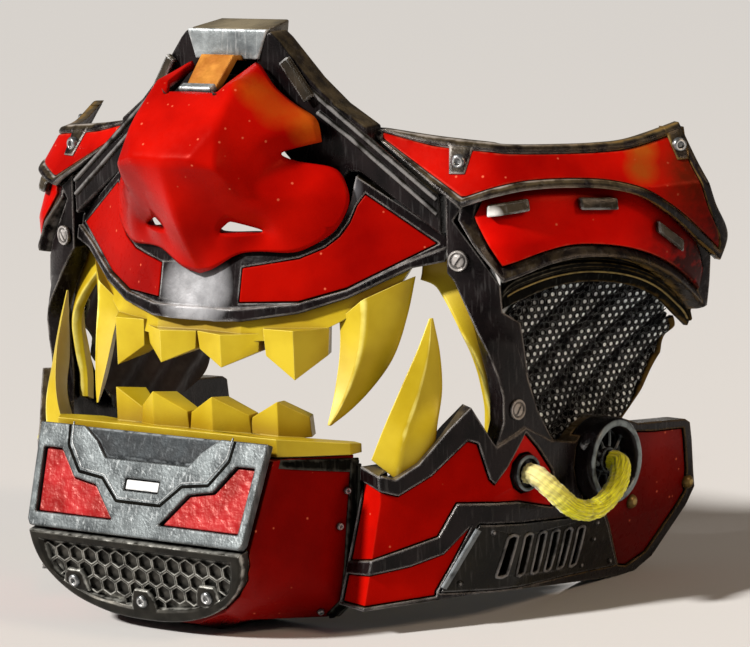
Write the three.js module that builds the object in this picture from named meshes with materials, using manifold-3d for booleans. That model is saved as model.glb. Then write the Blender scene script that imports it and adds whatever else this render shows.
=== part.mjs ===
// Oni half mask: red armour panels in dark steel frames, gold teeth, folded mesh side vents and yellow cords.
// Millimetres, Z up, the face looks toward -Y. The face frame has its origin inside the hollow, level with
// the mouth corners; REST_SHIFT moves it so that the mask stands on z = 0, centred on its own depth.
import * as THREE from 'three';
import { mergeVertices } from 'three/addons/utils/BufferGeometryUtils.js';
import { ConvexGeometry } from 'three/addons/geometries/ConvexGeometry.js';
import Module from 'manifold-3d';

const wasm = await Module();
wasm.setup();

const GAP = 0.3;
const REST_SHIFT = { back: 37.2, up: 64.5 };

// Side skin: a flank running back from a rounded corner, with a front run that differs at cheek and jaw.
const CORNER = { x: 77.2, y: -48.5, round: 5 };
const FLARE = { jaw: 3.8, cheek: 31, from: -15, to: 45 };
const FRONT_TURN = { jaw: 36, cheek: 76, from: 0, to: 25 };
const JAW_ARRIS = { run: 34.5, stretch: 0.2, below: -30, round: 0.8, turnX: -0.92, turnY: 0.39 };
const JAW_TAPER = { depth: 9, below: -30, over: 35, from: -20, to: 40 };
const CHEEK_LEAN = { rate: 0.62, above: 44 };
const SIDE_DROP = { by: 0.6, over: 15 };
const BAND_SKIRT = { rate: 0.33, top: 45.6, fall: 7.45e-5, depth: 13 };

// Lip wall: a bow in plan with a groove under the nose, leaning back as it rises.
const LIP = { front: -77, slope: 0.55, round: 18, groove: 4, grooveWidth: 7, lean: 0.23, level: 20 };
const LEG = { front: -58.5, slope: 0.133, from: 12, turn: 0.25, turnFrom: 40, turnOver: 20 };

// Layers of the side, as distances out from the skin.
const LAYER = {
  cheekBack: -0.5, cheekRim: 2.5, cheekRed: 1.9,
  bandBack: -3.7, bandRim: -1.9, bandRed: -2.3,
  archBack: -6.4, archFace: -4.3,
  meshBack: -8, meshFace: -7.8,
  strutBack: -6.3, strutFace: 0,
  jawBack: -5.6, jawRim: 0.7, pocket: -2.7, jawRed: 0,
  ventFace: 1.2,
  liningBack: -9.9, liningFace: -7,
};

const RED = { color: 0xb30d0a, roughness: 0.38, metalness: 0.05 };
const STEEL = { color: 0x3a3638, roughness: 0.45, metalness: 0.75 };
const SILVER = { color: 0x8a8e92, roughness: 0.45, metalness: 0.7 };
const BLACK = { color: 0x17150f, roughness: 0.5, metalness: 0.6 };
const GOLD = { color: 0xe0b810, roughness: 0.42, metalness: 0.1 };
const COPPER = { color: 0xd08a30, roughness: 0.4, metalness: 0.5 };
const YELLOW = { color: 0xdede18, roughness: 0.85, metalness: 0 };
const WHITE = { color: 0xe8eaec, roughness: 0.5, metalness: 0 };

const group = new THREE.Group();
group.name = 'oni_half_mask';

function clamp01(t) {
  return Math.min(1, Math.max(0, t));
}

function ease(t) {
  const c = clamp01(t);
  return c * c * (3 - 2 * c);
}

function soften(t, round) {
  return (t + Math.hypot(t, round)) / 2;
}

function softenRate(t, round) {
  return (1 + t / Math.hypot(t, round)) / 2;
}

// Point of the side skin: s runs back from the corner, z is height, d is the distance out.
function skin([s, z, d]) {
  const cheek = ease((z - FRONT_TURN.from) / (FRONT_TURN.to - FRONT_TURN.from));
  const turn = THREE.MathUtils.degToRad(FRONT_TURN.jaw + (FRONT_TURN.cheek - FRONT_TURN.jaw) * cheek);
  const rise = ease((z - FLARE.from) / (FLARE.to - FLARE.from));
  const flare = THREE.MathUtils.degToRad(FLARE.jaw + (FLARE.cheek - FLARE.jaw) * rise);
  const flank = [Math.sin(flare), Math.cos(flare)];
  const front = [-Math.sin(turn), -Math.cos(turn)];
  const stretch = 1 + JAW_ARRIS.stretch * Math.max(0, JAW_ARRIS.below - z) / JAW_ARRIS.run;
  const past = (1 - cheek) * soften(-s - JAW_ARRIS.run, JAW_ARRIS.round);
  const pastRate = (1 - cheek) * softenRate(-s - JAW_ARRIS.run, JAW_ARRIS.round);
  const ahead = soften(-s, CORNER.round);
  const aheadRate = softenRate(-s, CORNER.round);
  const behind = soften(s, CORNER.round);
  const behindRate = softenRate(s, CORNER.round);
  const turned = [JAW_ARRIS.turnX, JAW_ARRIS.turnY];
  const at = [0, 1].map((k) => flank[k] * behind + front[k] * stretch * (ahead - past) + turned[k] * past);
  const run = [0, 1].map(
    (k) => flank[k] * behindRate - front[k] * stretch * (aheadRate - pastRate) - turned[k] * pastRate,
  );
  const norm = Math.hypot(run[0], run[1]);
  const low = Math.max(0, JAW_TAPER.below - z) / JAW_TAPER.over;
  const taper = JAW_TAPER.depth * low * low * ease((s - JAW_TAPER.from) / (JAW_TAPER.to - JAW_TAPER.from));
  const out = d - taper - CHEEK_LEAN.rate * Math.max(0, z - CHEEK_LEAN.above);
  const drop = SIDE_DROP.by * clamp01((z + REST_SHIFT.up) / SIDE_DROP.over);
  return [CORNER.x + at[0] + (run[1] / norm) * out, CORNER.y + at[1] - (run[0] / norm) * out, z - drop];
}

// The cheek band stands out like a skirt: its face swings outward below the cheek, its back stays on the skin.
function skirt(back, face) {
  return ([s, z, d]) => {
    const below = BAND_SKIRT.top - BAND_SKIRT.fall * Math.max(0, s) ** 3 - z;
    const swing = BAND_SKIRT.rate * Math.min(BAND_SKIRT.depth, Math.max(0, below));
    return skin([s, z, d + (swing * (d - back)) / (face - back)]);
  };
}

function lipFront(x) {
  const bow = LIP.front + LIP.slope * (Math.hypot(x, LIP.round) - LIP.round);
  return bow + LIP.groove * Math.exp(-((x / LIP.grooveWidth) ** 2));
}

// Point of the lip wall: x across, z height, d the distance out of its front face.
function lipWall([x, z, d]) {
  const rate = (lipFront(x + 0.1) - lipFront(x - 0.1)) / 0.2;
  const norm = Math.hypot(rate, 1);
  return [x + (rate / norm) * d, lipFront(x) + LIP.lean * (z - LIP.level) - d / norm, z];
}

// Point of the brow bracket: its legs fall back as they run outward.
function legWall([x, z, d]) {
  const turn = LEG.turn * ease((x - LEG.turnFrom) / LEG.turnOver);
  return [x + turn * d, LEG.front + LEG.slope * Math.max(0, x - LEG.from) - d, z];
}

// A sloping plane across the chin: x across, v down the slope from its top edge, d out of its face.
function slope(top, fall) {
  const length = Math.hypot(fall.y, fall.z);
  const down = [fall.y / length, fall.z / length];
  return ([x, v, d]) => [x, top.y - down[0] * v - down[1] * d, top.z - down[1] * v + down[0] * d];
}

function solidOf(geometry) {
  const bare = geometry.clone();
  bare.deleteAttribute('normal');
  bare.deleteAttribute('uv');
  const merged = mergeVertices(bare, 1e-4);
  const triVerts = [];
  for (let i = 0; i < merged.index.count; i += 3) {
    const [a, b, c] = [merged.index.getX(i), merged.index.getX(i + 1), merged.index.getX(i + 2)];
    if (a !== b && b !== c && c !== a) triVerts.push(a, b, c);
  }
  const vertProperties = new Float32Array(merged.attributes.position.array);

  return new wasm.Manifold(new wasm.Mesh({ numProp: 3, vertProperties, triVerts: new Uint32Array(triVerts) }));
}

function geometryOf(solid) {
  const mesh = solid.getMesh();
  const positions = [];
  for (let i = 0; i < mesh.vertProperties.length; i += mesh.numProp) {
    positions.push(mesh.vertProperties[i], mesh.vertProperties[i + 1], mesh.vertProperties[i + 2]);
  }
  const geometry = new THREE.BufferGeometry();
  geometry.setAttribute('position', new THREE.Float32BufferAttribute(positions, 3));
  geometry.setIndex(Array.from(mesh.triVerts));
  return geometry;
}

function facesOf(points, faces) {
  const positions = faces.flatMap((face) => {
    const fan = [];
    for (let i = 1; i + 1 < face.length; i += 1) fan.push(face[0], face[i], face[i + 1]);
    return fan.flatMap((corner) => points[corner]);
  });
  const geometry = new THREE.BufferGeometry();
  geometry.setAttribute('position', new THREE.Float32BufferAttribute(positions, 3));
  return mergeVertices(geometry, 1e-4);
}

function flatPlate(points, low, high) {
  const shape = new THREE.Shape(points.map(([u, v]) => new THREE.Vector2(u, v)));
  const geometry = new THREE.ExtrudeGeometry(shape, { depth: high - low, bevelEnabled: false });
  geometry.translate(0, 0, low);
  return solidOf(geometry);
}

function disc(u, v, radius, sides) {
  return Array.from({ length: sides }, (_, i) => {
    const angle = (2 * Math.PI * i) / sides;
    return [u + radius * Math.cos(angle), v + radius * Math.sin(angle)];
  });
}

// Outline moved outward by a distance, or inward by a negative one.
function grow(points, distance) {
  const turn = Math.sign(THREE.ShapeUtils.area(points.map(([u, v]) => new THREE.Vector2(u, v))));
  const count = points.length;
  const normal = (a, b) => {
    const length = Math.hypot(b[0] - a[0], b[1] - a[1]);
    return [(turn * (b[1] - a[1])) / length, (-turn * (b[0] - a[0])) / length];
  };
  return points.map((point, i) => {
    const a = normal(points[(i + count - 1) % count], point);
    const b = normal(point, points[(i + 1) % count]);
    const reach = distance / Math.max(0.5, 1 + a[0] * b[0] + a[1] * b[1]);
    return [point[0] + (a[0] + b[0]) * reach, point[1] + (a[1] + b[1]) * reach];
  });
}

// A half outline from top middle to bottom middle, closed by its mirror image.
function mirrored(points) {
  const other = points.filter(([u]) => Math.abs(u) > 1e-6).map(([u, v]) => [-u, v]);
  return [...points, ...other.reverse()];
}

function splitPolygon(polygon, normal, offset) {
  const side = polygon.map((p) => p[0] * normal[0] + p[1] * normal[1] - offset);
  if (side.every((h) => h > -1e-6) || side.every((h) => h < 1e-6)) return [polygon];
  const parts = [[], []];
  polygon.forEach((point, i) => {
    const next = (i + 1) % polygon.length;
    if (side[i] > -1e-6) parts[0].push(point);
    if (side[i] < 1e-6) parts[1].push(point);
    if (Math.abs(side[i]) < 1e-6 || Math.abs(side[next]) < 1e-6 || side[i] * side[next] > 0) return;
    const t = side[i] / (side[i] - side[next]);
    const cut = point.map((value, k) => value + (polygon[next][k] - value) * t);
    parts[0].push(cut);
    parts[1].push(cut);
  });
  return parts;
}

// Bends a flat solid through a map, after cutting its faces along the given lines.
function bend(solid, map, cuts) {
  const mesh = solid.getMesh();
  const corner = (i) => Array.from(mesh.vertProperties.slice(i * mesh.numProp, i * mesh.numProp + 3));
  let polygons = [];
  for (let i = 0; i < mesh.triVerts.length; i += 3) {
    polygons.push([corner(mesh.triVerts[i]), corner(mesh.triVerts[i + 1]), corner(mesh.triVerts[i + 2])]);
  }
  for (const { normal, at } of cuts) {
    for (const offset of at) polygons = polygons.flatMap((p) => splitPolygon(p, normal, offset));
  }
  const positions = [];
  for (const polygon of polygons) {
    for (let i = 1; i + 1 < polygon.length; i += 1) {
      positions.push(...map(polygon[0]), ...map(polygon[i]), ...map(polygon[i + 1]));
    }
  }
  const geometry = new THREE.BufferGeometry();
  geometry.setAttribute('position', new THREE.Float32BufferAttribute(positions, 3));
  return outward(mergeVertices(geometry, 1e-3));
}

// Rings of equal length joined by quads and closed at both ends.
function loft(rings) {
  const size = rings[0].length;
  const faces = [];
  for (let r = 0; r + 1 < rings.length; r += 1) {
    for (let k = 0; k < size; k += 1) {
      const next = (k + 1) % size;
      faces.push([r * size + k, r * size + next, (r + 1) * size + next, (r + 1) * size + k]);
    }
  }
  const last = (rings.length - 1) * size;
  faces.push(Array.from({ length: size }, (_, k) => size - 1 - k));
  faces.push(Array.from({ length: size }, (_, k) => last + k));
  return outward(facesOf(rings.flat(), faces));
}

function outward(geometry) {
  const p = geometry.attributes.position;
  const corner = (i) => new THREE.Vector3().fromBufferAttribute(p, geometry.index.getX(i));
  let volume = 0;
  for (let i = 0; i < geometry.index.count; i += 3) {
    volume += corner(i).dot(corner(i + 1).cross(corner(i + 2)));
  }
  return volume < 0 ? flip(geometry) : geometry;
}

function flip(geometry) {
  const turned = geometry.clone();
  const index = Array.from(turned.index.array);
  for (let i = 0; i < index.length; i += 3) [index[i + 1], index[i + 2]] = [index[i + 2], index[i + 1]];
  turned.setIndex(index);
  return turned;
}

function mirrorX(geometry) {
  const other = geometry.clone();
  other.scale(-1, 1, 1);
  return flip(other);
}

function addPiece(name, geometry, finish) {
  const placed = geometry.clone();
  placed.translate(0, REST_SHIFT.back, REST_SHIFT.up);
  const bare = placed.toNonIndexed();
  bare.computeVertexNormals();
  const mesh = new THREE.Mesh(bare, new THREE.MeshStandardMaterial(finish));
  mesh.name = name;
  group.add(mesh);
}

// The +X side is the wearer's left.
function addPair(name, geometry, finish) {
  addPiece(`${name}_left`, geometry, finish);
  addPiece(`${name}_right`, mirrorX(geometry), finish);
}

const CHEEK_CUTS = [
  { normal: [1, 0], at: [-4, 4, 30] },
  { normal: [0, 1], at: [32, 44] },
];
const BAND_CUTS = [
  { normal: [1, 0], at: [-4, 4, 30] },
  { normal: [0, 1], at: [32] },
];
const ARCH_CUTS = [{ normal: [1, 0], at: [5, 40] }];
const MOUTH_CUTS = [
  { normal: [1, 0], at: [-4.5] },
  { normal: [0, 1], at: [8, 17] },
];
const JAW_CUTS = [
  { normal: [1, 0], at: [-34.5, -4, 4, 28] },
  { normal: [0, 1], at: [-47, -30, 8, 17] },
];

// Cheek panel: outline columns are s (back from the corner) and z.
const CHEEK_TOP = [[-20, 59], [-0.5, 57.3], [19, 56], [29, 55.6], [38, 55.8], [45, 57], [54, 59]];
const CHEEK_REAR = [[57, 46], [59.4, 39.3], [65.6, 28.2], [65.8, 22.2]];
const CHEEK_LOW = [
  [57.6, 27.9], [45.4, 37.6], [39, 41.6], [29, 44.6], [21, 45.5], [13, 45.9], [5, 45.7], [-1, 44.8],
  [-10, 42.2],
];
const CHEEK_FRONT = { apex: [-40.3, 61.6], cut: -34.2 };
const CHEEK_RIM_WIDTH = 2.1;
const CHEEK_TAB = { front: [-16, -8.2], rear: [48.8, 55.4], low: [50.2, 50] };

const cheekOutline = [CHEEK_FRONT.apex, ...CHEEK_TOP, ...CHEEK_REAR, ...CHEEK_LOW];

// Cheek outline drawn in by a distance, with its front apex cut square.
function cheekPlate(inset, low, high) {
  const cut = CHEEK_FRONT.cut + inset;
  const keep = flatPlate([[cut, 0], [120, 0], [120, 80], [cut, 80]], -20, 20);
  return flatPlate(grow(cheekOutline, -inset), low, high).intersect(keep);
}

function tabOutline([from, to], low) {
  return [[from, 62], [from + 1.4, low], [to - 1.4, low], [to, 62]];
}

const tabs = [tabOutline(CHEEK_TAB.front, CHEEK_TAB.low[0]), tabOutline(CHEEK_TAB.rear, CHEEK_TAB.low[1])];
const cheekRing = cheekPlate(0, LAYER.cheekBack, LAYER.cheekRim).subtract(cheekPlate(CHEEK_RIM_WIDTH, -9, 9));
const cheekTabs = tabs
  .map((tab) => flatPlate(tab, LAYER.cheekBack, LAYER.cheekRim))
  .reduce((a, b) => a.add(b))
  .intersect(cheekPlate(0.2, -9, 9));
const cheekRed = tabs.reduce(
  (plate, tab) => plate.subtract(flatPlate(grow(tab, GAP), -9, 9)),
  cheekPlate(CHEEK_RIM_WIDTH + GAP, LAYER.cheekBack, LAYER.cheekRed),
);
addPair('cheek_frame', bend(cheekRing.add(cheekTabs), skin, CHEEK_CUTS), STEEL);
addPair('cheek_panel', bend(cheekRed, skin, CHEEK_CUTS), RED);

// Cheek band under the panel, with its own frame and three clips.
const BAND_LOW = [
  [0.2, 22.6], [4, 23.7], [12, 26], [20.5, 27], [29.5, 26.5], [38.5, 24.6], [49.3, 19.7], [59.8, 13.1],
  [68.5, 7.4],
];
const BAND_REAR = [[70.1, 7.8], [65.8, 19.8]];
const BAND_TOP = [
  [64.4, 24.4], [57.4, 30.4], [45.4, 40.6], [39, 44.6], [29, 47.5], [21, 48.4], [5, 48.5], [-1, 47.6],
  [-8, 45.8], [-11.6, 43.8],
];
const BAND_FRONT = [[-9.6, 42.2], [-12, 38.8]];
const BAND_RED = [
  [0, 27.1], [3.9, 28.1], [16.2, 30.9], [25.4, 30.6], [34.2, 29.1], [42.6, 26.4], [50.4, 22.9],
  [60.5, 15.9], [63.6, 14], [63.1, 20], [57, 29.2], [45, 38.9], [38.7, 42.9], [28.7, 45.8], [20.8, 46.7],
  [5, 46.9], [-1, 46], [-6.4, 44.3], [-7.4, 39.4],
];
const BAND_CLIPS = [
  { from: [-3.4, 39.7], to: [7.7, 40.7] },
  { from: [21.9, 39.8], to: [32.5, 38.9] },
  { from: [44.2, 32], to: [52.5, 26] },
];
const CLIP = { rise: 3, thick: 2 };

const bandOutline = [...BAND_LOW, ...BAND_REAR, ...BAND_TOP, ...BAND_FRONT];
const bandRing = flatPlate(bandOutline, LAYER.bandBack, LAYER.bandRim).subtract(
  flatPlate(grow(BAND_RED, GAP), -9, 9),
);
const bandRed = flatPlate(BAND_RED, LAYER.bandBack, LAYER.bandRed);
addPair('band_frame', bend(bandRing, skirt(LAYER.bandBack, LAYER.bandRim), BAND_CUTS), STEEL);
addPair('band_panel', bend(bandRed, skirt(LAYER.bandBack, LAYER.bandRed), BAND_CUTS), RED);

BAND_CLIPS.forEach(({ from, to }, i) => {
  const bar = [from, to, [to[0], to[1] + CLIP.rise], [from[0], from[1] + CLIP.rise]];
  const seat = LAYER.bandRed + GAP;
  const face = seat + CLIP.thick;
  const clip = flatPlate(bar, seat, face);
  const below = skirt(LAYER.bandBack, LAYER.bandRed);
  const ride = ([s, z, d]) => {
    const [root, tip] = [below([s, z, LAYER.bandRed]), skin([s, z, 1])];
    const out = skin([s, z, 0]).map((v, k) => tip[k] - v);
    return root.map((v, k) => v + out[k] * (d - LAYER.bandRed));
  };
  addPair(`band_clip_${i + 1}`, bend(clip, ride, [{ normal: [1, 0], at: [0, 4] }]), SILVER);
});

// Dark arch between the band and the mesh.
const ARCH = [
  [2.1, 15.1], [8, 16.8], [16.8, 19], [26, 19.8], [35.5, 18.9], [46, 16.4], [55.5, 12.5], [67, 6],
  [75.5, 1.4],
  [73.6, 5.3], [69.6, 11], [60, 17], [49.3, 23.6], [38.5, 28], [29, 30], [20, 30.4], [11, 29.4], [3, 27],
  [0.9, 24.5], [0.9, 15.9],
];
addPair('vent_arch', bend(flatPlate(ARCH, LAYER.archBack, LAYER.archFace), skin, ARCH_CUTS), BLACK);

// Folded mesh sheet of the side vent.
const MESH = [
  [7.6, 16], [17, 20.6], [35, 20.8], [53.2, 15], [69.3, 4.8], [72, 0.4], [72.2, -5.8], [59.4, -20.2],
  [52, -24],
  [31, -25], [20.3, -22], [14.6, -12], [10.8, -3], [7, 11],
];
const FOLD = { turn: 35, pitch: 9.6, height: 1.1, phase: 4.2, half: 0.9 };
const foldTurn = THREE.MathUtils.degToRad(FOLD.turn);
const foldNormal = [-Math.sin(foldTurn), Math.cos(foldTurn)];

function folded([s, z, d]) {
  const across = (s * foldNormal[0] + z * foldNormal[1] + FOLD.phase) / FOLD.pitch;
  const wave = Math.abs(2 * (across - Math.floor(across)) - 1) * 2 - 1;
  return skin([s, z, d + FOLD.height * (wave - 1)]);
}

const foldLines = Array.from({ length: 15 }, (_, i) => (i - 11) * (FOLD.pitch / 2) - FOLD.phase);
const meshSheet = flatPlate(MESH, LAYER.meshBack - FOLD.half, LAYER.meshFace + FOLD.half);
addPair('vent_mesh', bend(meshSheet, folded, [{ normal: foldNormal, at: foldLines }]), BLACK);

// Jaw frame: the strut beside the mouth and the jaw wall, one casting with pockets for the panels.
const STRUT = [
  [-15, 45.1], [-10.4, 41.7], [-13, 38.6], [-0.4, 21.9], [0.2, 15.4], [5.7, 12.1], [7.4, 3.9], [8.9, -2.9],
  [12.5, -11.4], [17.7, -19], [22, -23], [26, -26], [28, -36], [18, -38], [4, -30], [-4, -29], [-2.9, -18.6],
  [-0.2, -12.9], [-0.1, -6.3], [-1.5, -1.1], [-3.9, 4.8], [-7, 11.3], [-10, 17.4], [-13.1, 23.1], [-15, 25.2],
];
const JAW = [
  [-42.5, -21.6], [-39.5, -22], [-33.4, -23.3], [-30.3, -24.3], [-23.9, -20.9], [-15.6, -12.7],
  [-9.6, -7.7], [-4.2, -16.7], [-2.9, -18.6], [7, -15], [17, -20], [27, -22], [31, -19.6], [38, -17.2],
  [46, -18.6], [54, -21.6], [75, -23.9], [77.1, -25.1], [78.8, -38.5], [80.2, -43.3], [77.4, -48.2],
  [68, -61.3], [62, -64.5], [55, -64.5], [43.5, -63.2], [23.5, -60.2], [5.5, -57.2], [-7.4, -56],
  [-17.4, -56.5], [-34.5, -57.5], [-45.5, -57.5], [-44.6, -47], [-43.6, -36],
];
const JAW_FLANGE = { outline: [[-42, -22.4], [-51, -24], [-51, -56.6], [-45, -56.6]], face: -3.4 };
const JAW_RED_UPPER = [
  [-42.2, -25.6], [-39.6, -26], [-34.3, -27.3], [-29.7, -28.8], [-20.6, -24.4], [-10.7, -16.4], [-8.2, -17.3],
  [-5.3, -26.8], [-3.7, -28.5], [0.3, -24.4], [7, -16.6], [11.7, -21.3], [17, -27.8], [17.8, -33],
  [16.8, -37],
  [3.4, -33.3], [-14.2, -31.7], [-18.6, -39.8], [-27, -42], [-34.5, -44.1], [-43.6, -45.6], [-43, -36],
];
const JAW_RED_LOWER = [
  [-43.9, -49.4], [-34.5, -48.4], [-24.6, -47], [-16.6, -44.7], [-10, -38], [-18.2, -54], [-18.2, -55.2],
  [-34.5, -56.2], [-44.4, -56.4],
];
const JAW_RED_REAR = [
  [47, -22.9], [61.6, -25.2], [74.1, -26.4], [75.6, -37.9], [76, -43.8], [64, -59], [57, -61.6], [53, -60.6],
  [41, -43.2], [40, -38],
];
const JAW_VENT = [[-8, -38], [39.2, -43.4], [51, -60.2], [-17, -54.3]];
const HUB = {
  s: 38, z: -28.5, outer: 11.4, inner: 8.6, boss: 3.6, rim: 5.7, floor: -0.6, vane: 2.6, blades: 6,
};
const GROMMET = { s: 6.6, z: -26.6, outer: 4.8, inner: 3.7, out: 1.8 };
const SLOTS = {
  count: 6, width: 2.6, top: [1.1, -42.3], bottom: [-2.2, -52], topStep: [5.7, -0.6], lowStep: [6.2, -0.7],
};

const hubSeat = disc(HUB.s, HUB.z, HUB.outer + 2 * GAP, 14);
const pockets = [JAW_RED_UPPER, JAW_RED_LOWER, JAW_RED_REAR, JAW_VENT].map((outline) =>
  flatPlate(grow(outline, GAP), LAYER.pocket, 9),
);
const jawCast = pockets.reduce(
  (cast, pocket) => cast.subtract(pocket),
  flatPlate(STRUT, LAYER.strutBack, LAYER.strutFace)
    .add(flatPlate(JAW, LAYER.jawBack, LAYER.jawRim))
    .add(flatPlate(JAW_FLANGE.outline, LAYER.jawBack, JAW_FLANGE.face)),
);
const grommetBore = disc(GROMMET.s, GROMMET.z, GROMMET.outer + 2 * GAP, 10);
const jawFrame = jawCast.subtract(flatPlate(hubSeat, LAYER.pocket, 9)).subtract(flatPlate(grommetBore, -1, 9));
addPair('jaw_frame', bend(jawFrame, skin, JAW_CUTS), STEEL);

function jawInlay(outline, face) {
  return flatPlate(outline, LAYER.pocket + 2 * GAP, face).subtract(flatPlate(hubSeat, -9, 9));
}

const upperRed = jawInlay(JAW_RED_UPPER, LAYER.jawRed).subtract(flatPlate(grommetBore, -9, 9));
addPair('jaw_panel_upper', bend(upperRed, skin, JAW_CUTS), RED);
addPair('jaw_panel_lower', bend(jawInlay(JAW_RED_LOWER, LAYER.jawRed), skin, JAW_CUTS), RED);
addPair('jaw_panel_rear', bend(jawInlay(JAW_RED_REAR, LAYER.jawRed), skin, JAW_CUTS), RED);

function slotOutline(i) {
  const top = [SLOTS.top[0] + SLOTS.topStep[0] * i, SLOTS.top[1] + SLOTS.topStep[1] * i];
  const low = [SLOTS.bottom[0] + SLOTS.lowStep[0] * i, SLOTS.bottom[1] + SLOTS.lowStep[1] * i];
  const half = SLOTS.width / 2;
  return [[low[0] - half, low[1]], [low[0] + half, low[1]], [top[0] + half, top[1]], [top[0] - half, top[1]]];
}

let ventPlate = jawInlay(JAW_VENT, LAYER.ventFace);
for (let i = 0; i < SLOTS.count; i += 1) ventPlate = ventPlate.subtract(flatPlate(slotOutline(i), -9, 9));
addPair('jaw_vent', bend(ventPlate, skin, JAW_CUTS), BLACK);

// Gold lining inside the mouth corner.
const LINING = [
  [-25, 22.3], [-20.7, 20.9], [-17.5, 18.1], [-14, 14.5], [-10.2, 10], [-5.3, 3.9], [-1.1, -4.1],
  [1.9, -10.7],
  [1.3, -17.4], [5.6, -18.6], [6.2, -11], [4.2, -3], [0.4, 5], [-2, 11.3], [-6.3, 17.4], [-12.6, 22.5],
  [-18.2, 25.2], [-24.5, 25.4],
];
addPair('mouth_lining', bend(flatPlate(LINING, LAYER.liningBack, LAYER.liningFace), skin, MOUTH_CUTS), GOLD);

// Hub with fan vanes, and the grommet that the cord leaves.
function seatedOn(s, z) {
  const origin = new THREE.Vector3(...skin([s, z, 0]));
  const out = new THREE.Vector3(...skin([s, z, 1])).sub(origin).normalize();
  const back = new THREE.Vector3(...skin([s + 1, z, 0])).sub(origin).normalize();
  const up = new THREE.Vector3().crossVectors(out, back);
  return new THREE.Matrix4().makeBasis(back, up.normalize(), out).setPosition(origin);
}

function ringTurned(profile, sides) {
  const geometry = new THREE.LatheGeometry(profile.map(([r, h]) => new THREE.Vector2(r, h)), sides);
  geometry.rotateX(Math.PI / 2);
  return outward(geometryOf(solidOf(geometry)));
}

const hubSole = LAYER.pocket + 2 * GAP;
const hubCup = ringTurned(
  [
    [0, hubSole], [HUB.outer, hubSole], [HUB.outer, HUB.rim - 1], [HUB.outer - 0.9, HUB.rim],
    [HUB.inner + 0.6, HUB.rim], [HUB.inner, HUB.rim - 0.8], [HUB.inner, HUB.floor], [HUB.boss, HUB.floor],
    [HUB.boss, HUB.vane + 0.6], [0, HUB.vane + 0.6],
  ],
  14,
);
let hub = solidOf(hubCup);
for (let i = 0; i < HUB.blades; i += 1) {
  const vane = new THREE.BoxGeometry(HUB.inner - HUB.boss + 1.2, 1.1, HUB.vane - HUB.floor + 0.4);
  vane.translate((HUB.inner + HUB.boss) / 2, 0, (HUB.vane + HUB.floor - 0.4) / 2);
  vane.rotateZ((2 * Math.PI * i) / HUB.blades + 0.4);
  hub = hub.add(solidOf(vane));
}
addPair('hub', geometryOf(hub).applyMatrix4(seatedOn(HUB.s, HUB.z)), STEEL);

const grommetRing = ringTurned(
  [
    [0, -0.6], [GROMMET.outer, -0.6], [GROMMET.outer, GROMMET.out - 0.6], [GROMMET.outer - 0.6, GROMMET.out],
    [GROMMET.inner, GROMMET.out], [GROMMET.inner, 0.4], [0, 0.4],
  ],
  10,
);
addPair('grommet', grommetRing.clone().applyMatrix4(seatedOn(GROMMET.s, GROMMET.z)), STEEL);

// Cord looped from the grommet to the hub boss: columns s, z, d.
const CORD = { radius: 2.75, sides: 8, steps: 13 };
const CORD_ROUTE = [
  [6.6, -26.6, 1], [6.7, -26.9, 3.4], [8.2, -30.6, 8], [12.4, -35.4, 10.6], [20, -37.4, 11.2],
  [28.2, -35.2, 10.6], [35.2, -31.4, 8.4], [38, -28.8, 6], [38, -28.5, 3.6],
];
const cordPath = new THREE.CatmullRomCurve3(CORD_ROUTE.map((point) => new THREE.Vector3(...skin(point))));
const cordShape = new THREE.Shape(disc(0, 0, CORD.radius, CORD.sides).map(([u, v]) => new THREE.Vector2(u, v)));
const cordRun = { steps: CORD.steps, extrudePath: cordPath, bevelEnabled: false };
const cordTube = new THREE.ExtrudeGeometry(cordShape, cordRun);
addPair('cord', geometryOf(solidOf(cordTube)), YELLOW);

// Lip frame with a raised trim, and the red plates let into it: columns x, z.
const LIP_LOW = [[61, 27.4], [53, 25.8], [39.5, 18.8], [28, 15], [14, 13], [7, 12.6], [0, 12.3]];
const LIP_UPPER = [
  [0, 33], [10, 34.4], [20, 35], [26, 33.4], [32, 32.8], [35, 35.6], [37, 39], [38, 43], [38.6, 48.9],
  [61, 33.5],
];
const LIP_TRIM = [
  [61, 30.9], [51.5, 27.1], [39, 20.7], [28, 17.4], [14, 16], [7, 15.8], [0, 15.6],
];
const LIP_RED = [
  [13.4, 17.6], [28, 17.8], [39, 21.1], [51, 27.6], [58.6, 31.8], [41.2, 44.2], [39.6, 41.6], [38.3, 37.4],
  [36.2, 33.9], [33, 31], [27.3, 28.5], [20.6, 27.3], [13.4, 26.1],
];
const LIP_CUTS = [{ normal: [1, 0], at: [-42, -28, -14, -6, 0, 6, 14, 28, 42] }];
const GUM_CUTS = [{ normal: [1, 0], at: [-40, -28, -14, 0, 14, 28, 40] }];
const LIP_THICK = 4.2;
const TRIM_OUT = 1.1;

const lipOutline = mirrored([...LIP_UPPER, ...LIP_LOW]);
const lipTrim = mirrored([...LIP_TRIM.slice().reverse(), ...LIP_LOW]);
const otherLipRed = LIP_RED.map(([x, z]) => [-x, z]).reverse();
const lipFrame = flatPlate(lipOutline, -LIP_THICK, 0)
  .add(flatPlate(lipTrim, -LIP_THICK, TRIM_OUT))
  .subtract(flatPlate(grow(LIP_RED, GAP), -1.5, 9))
  .subtract(flatPlate(grow(otherLipRed, GAP), -1.5, 9));
addPiece('lip_frame', bend(lipFrame, lipWall, LIP_CUTS), STEEL);
addPair('lip_panel', bend(flatPlate(LIP_RED, -1.5 + GAP, 0.2), lipWall, LIP_CUTS), RED);

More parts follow.
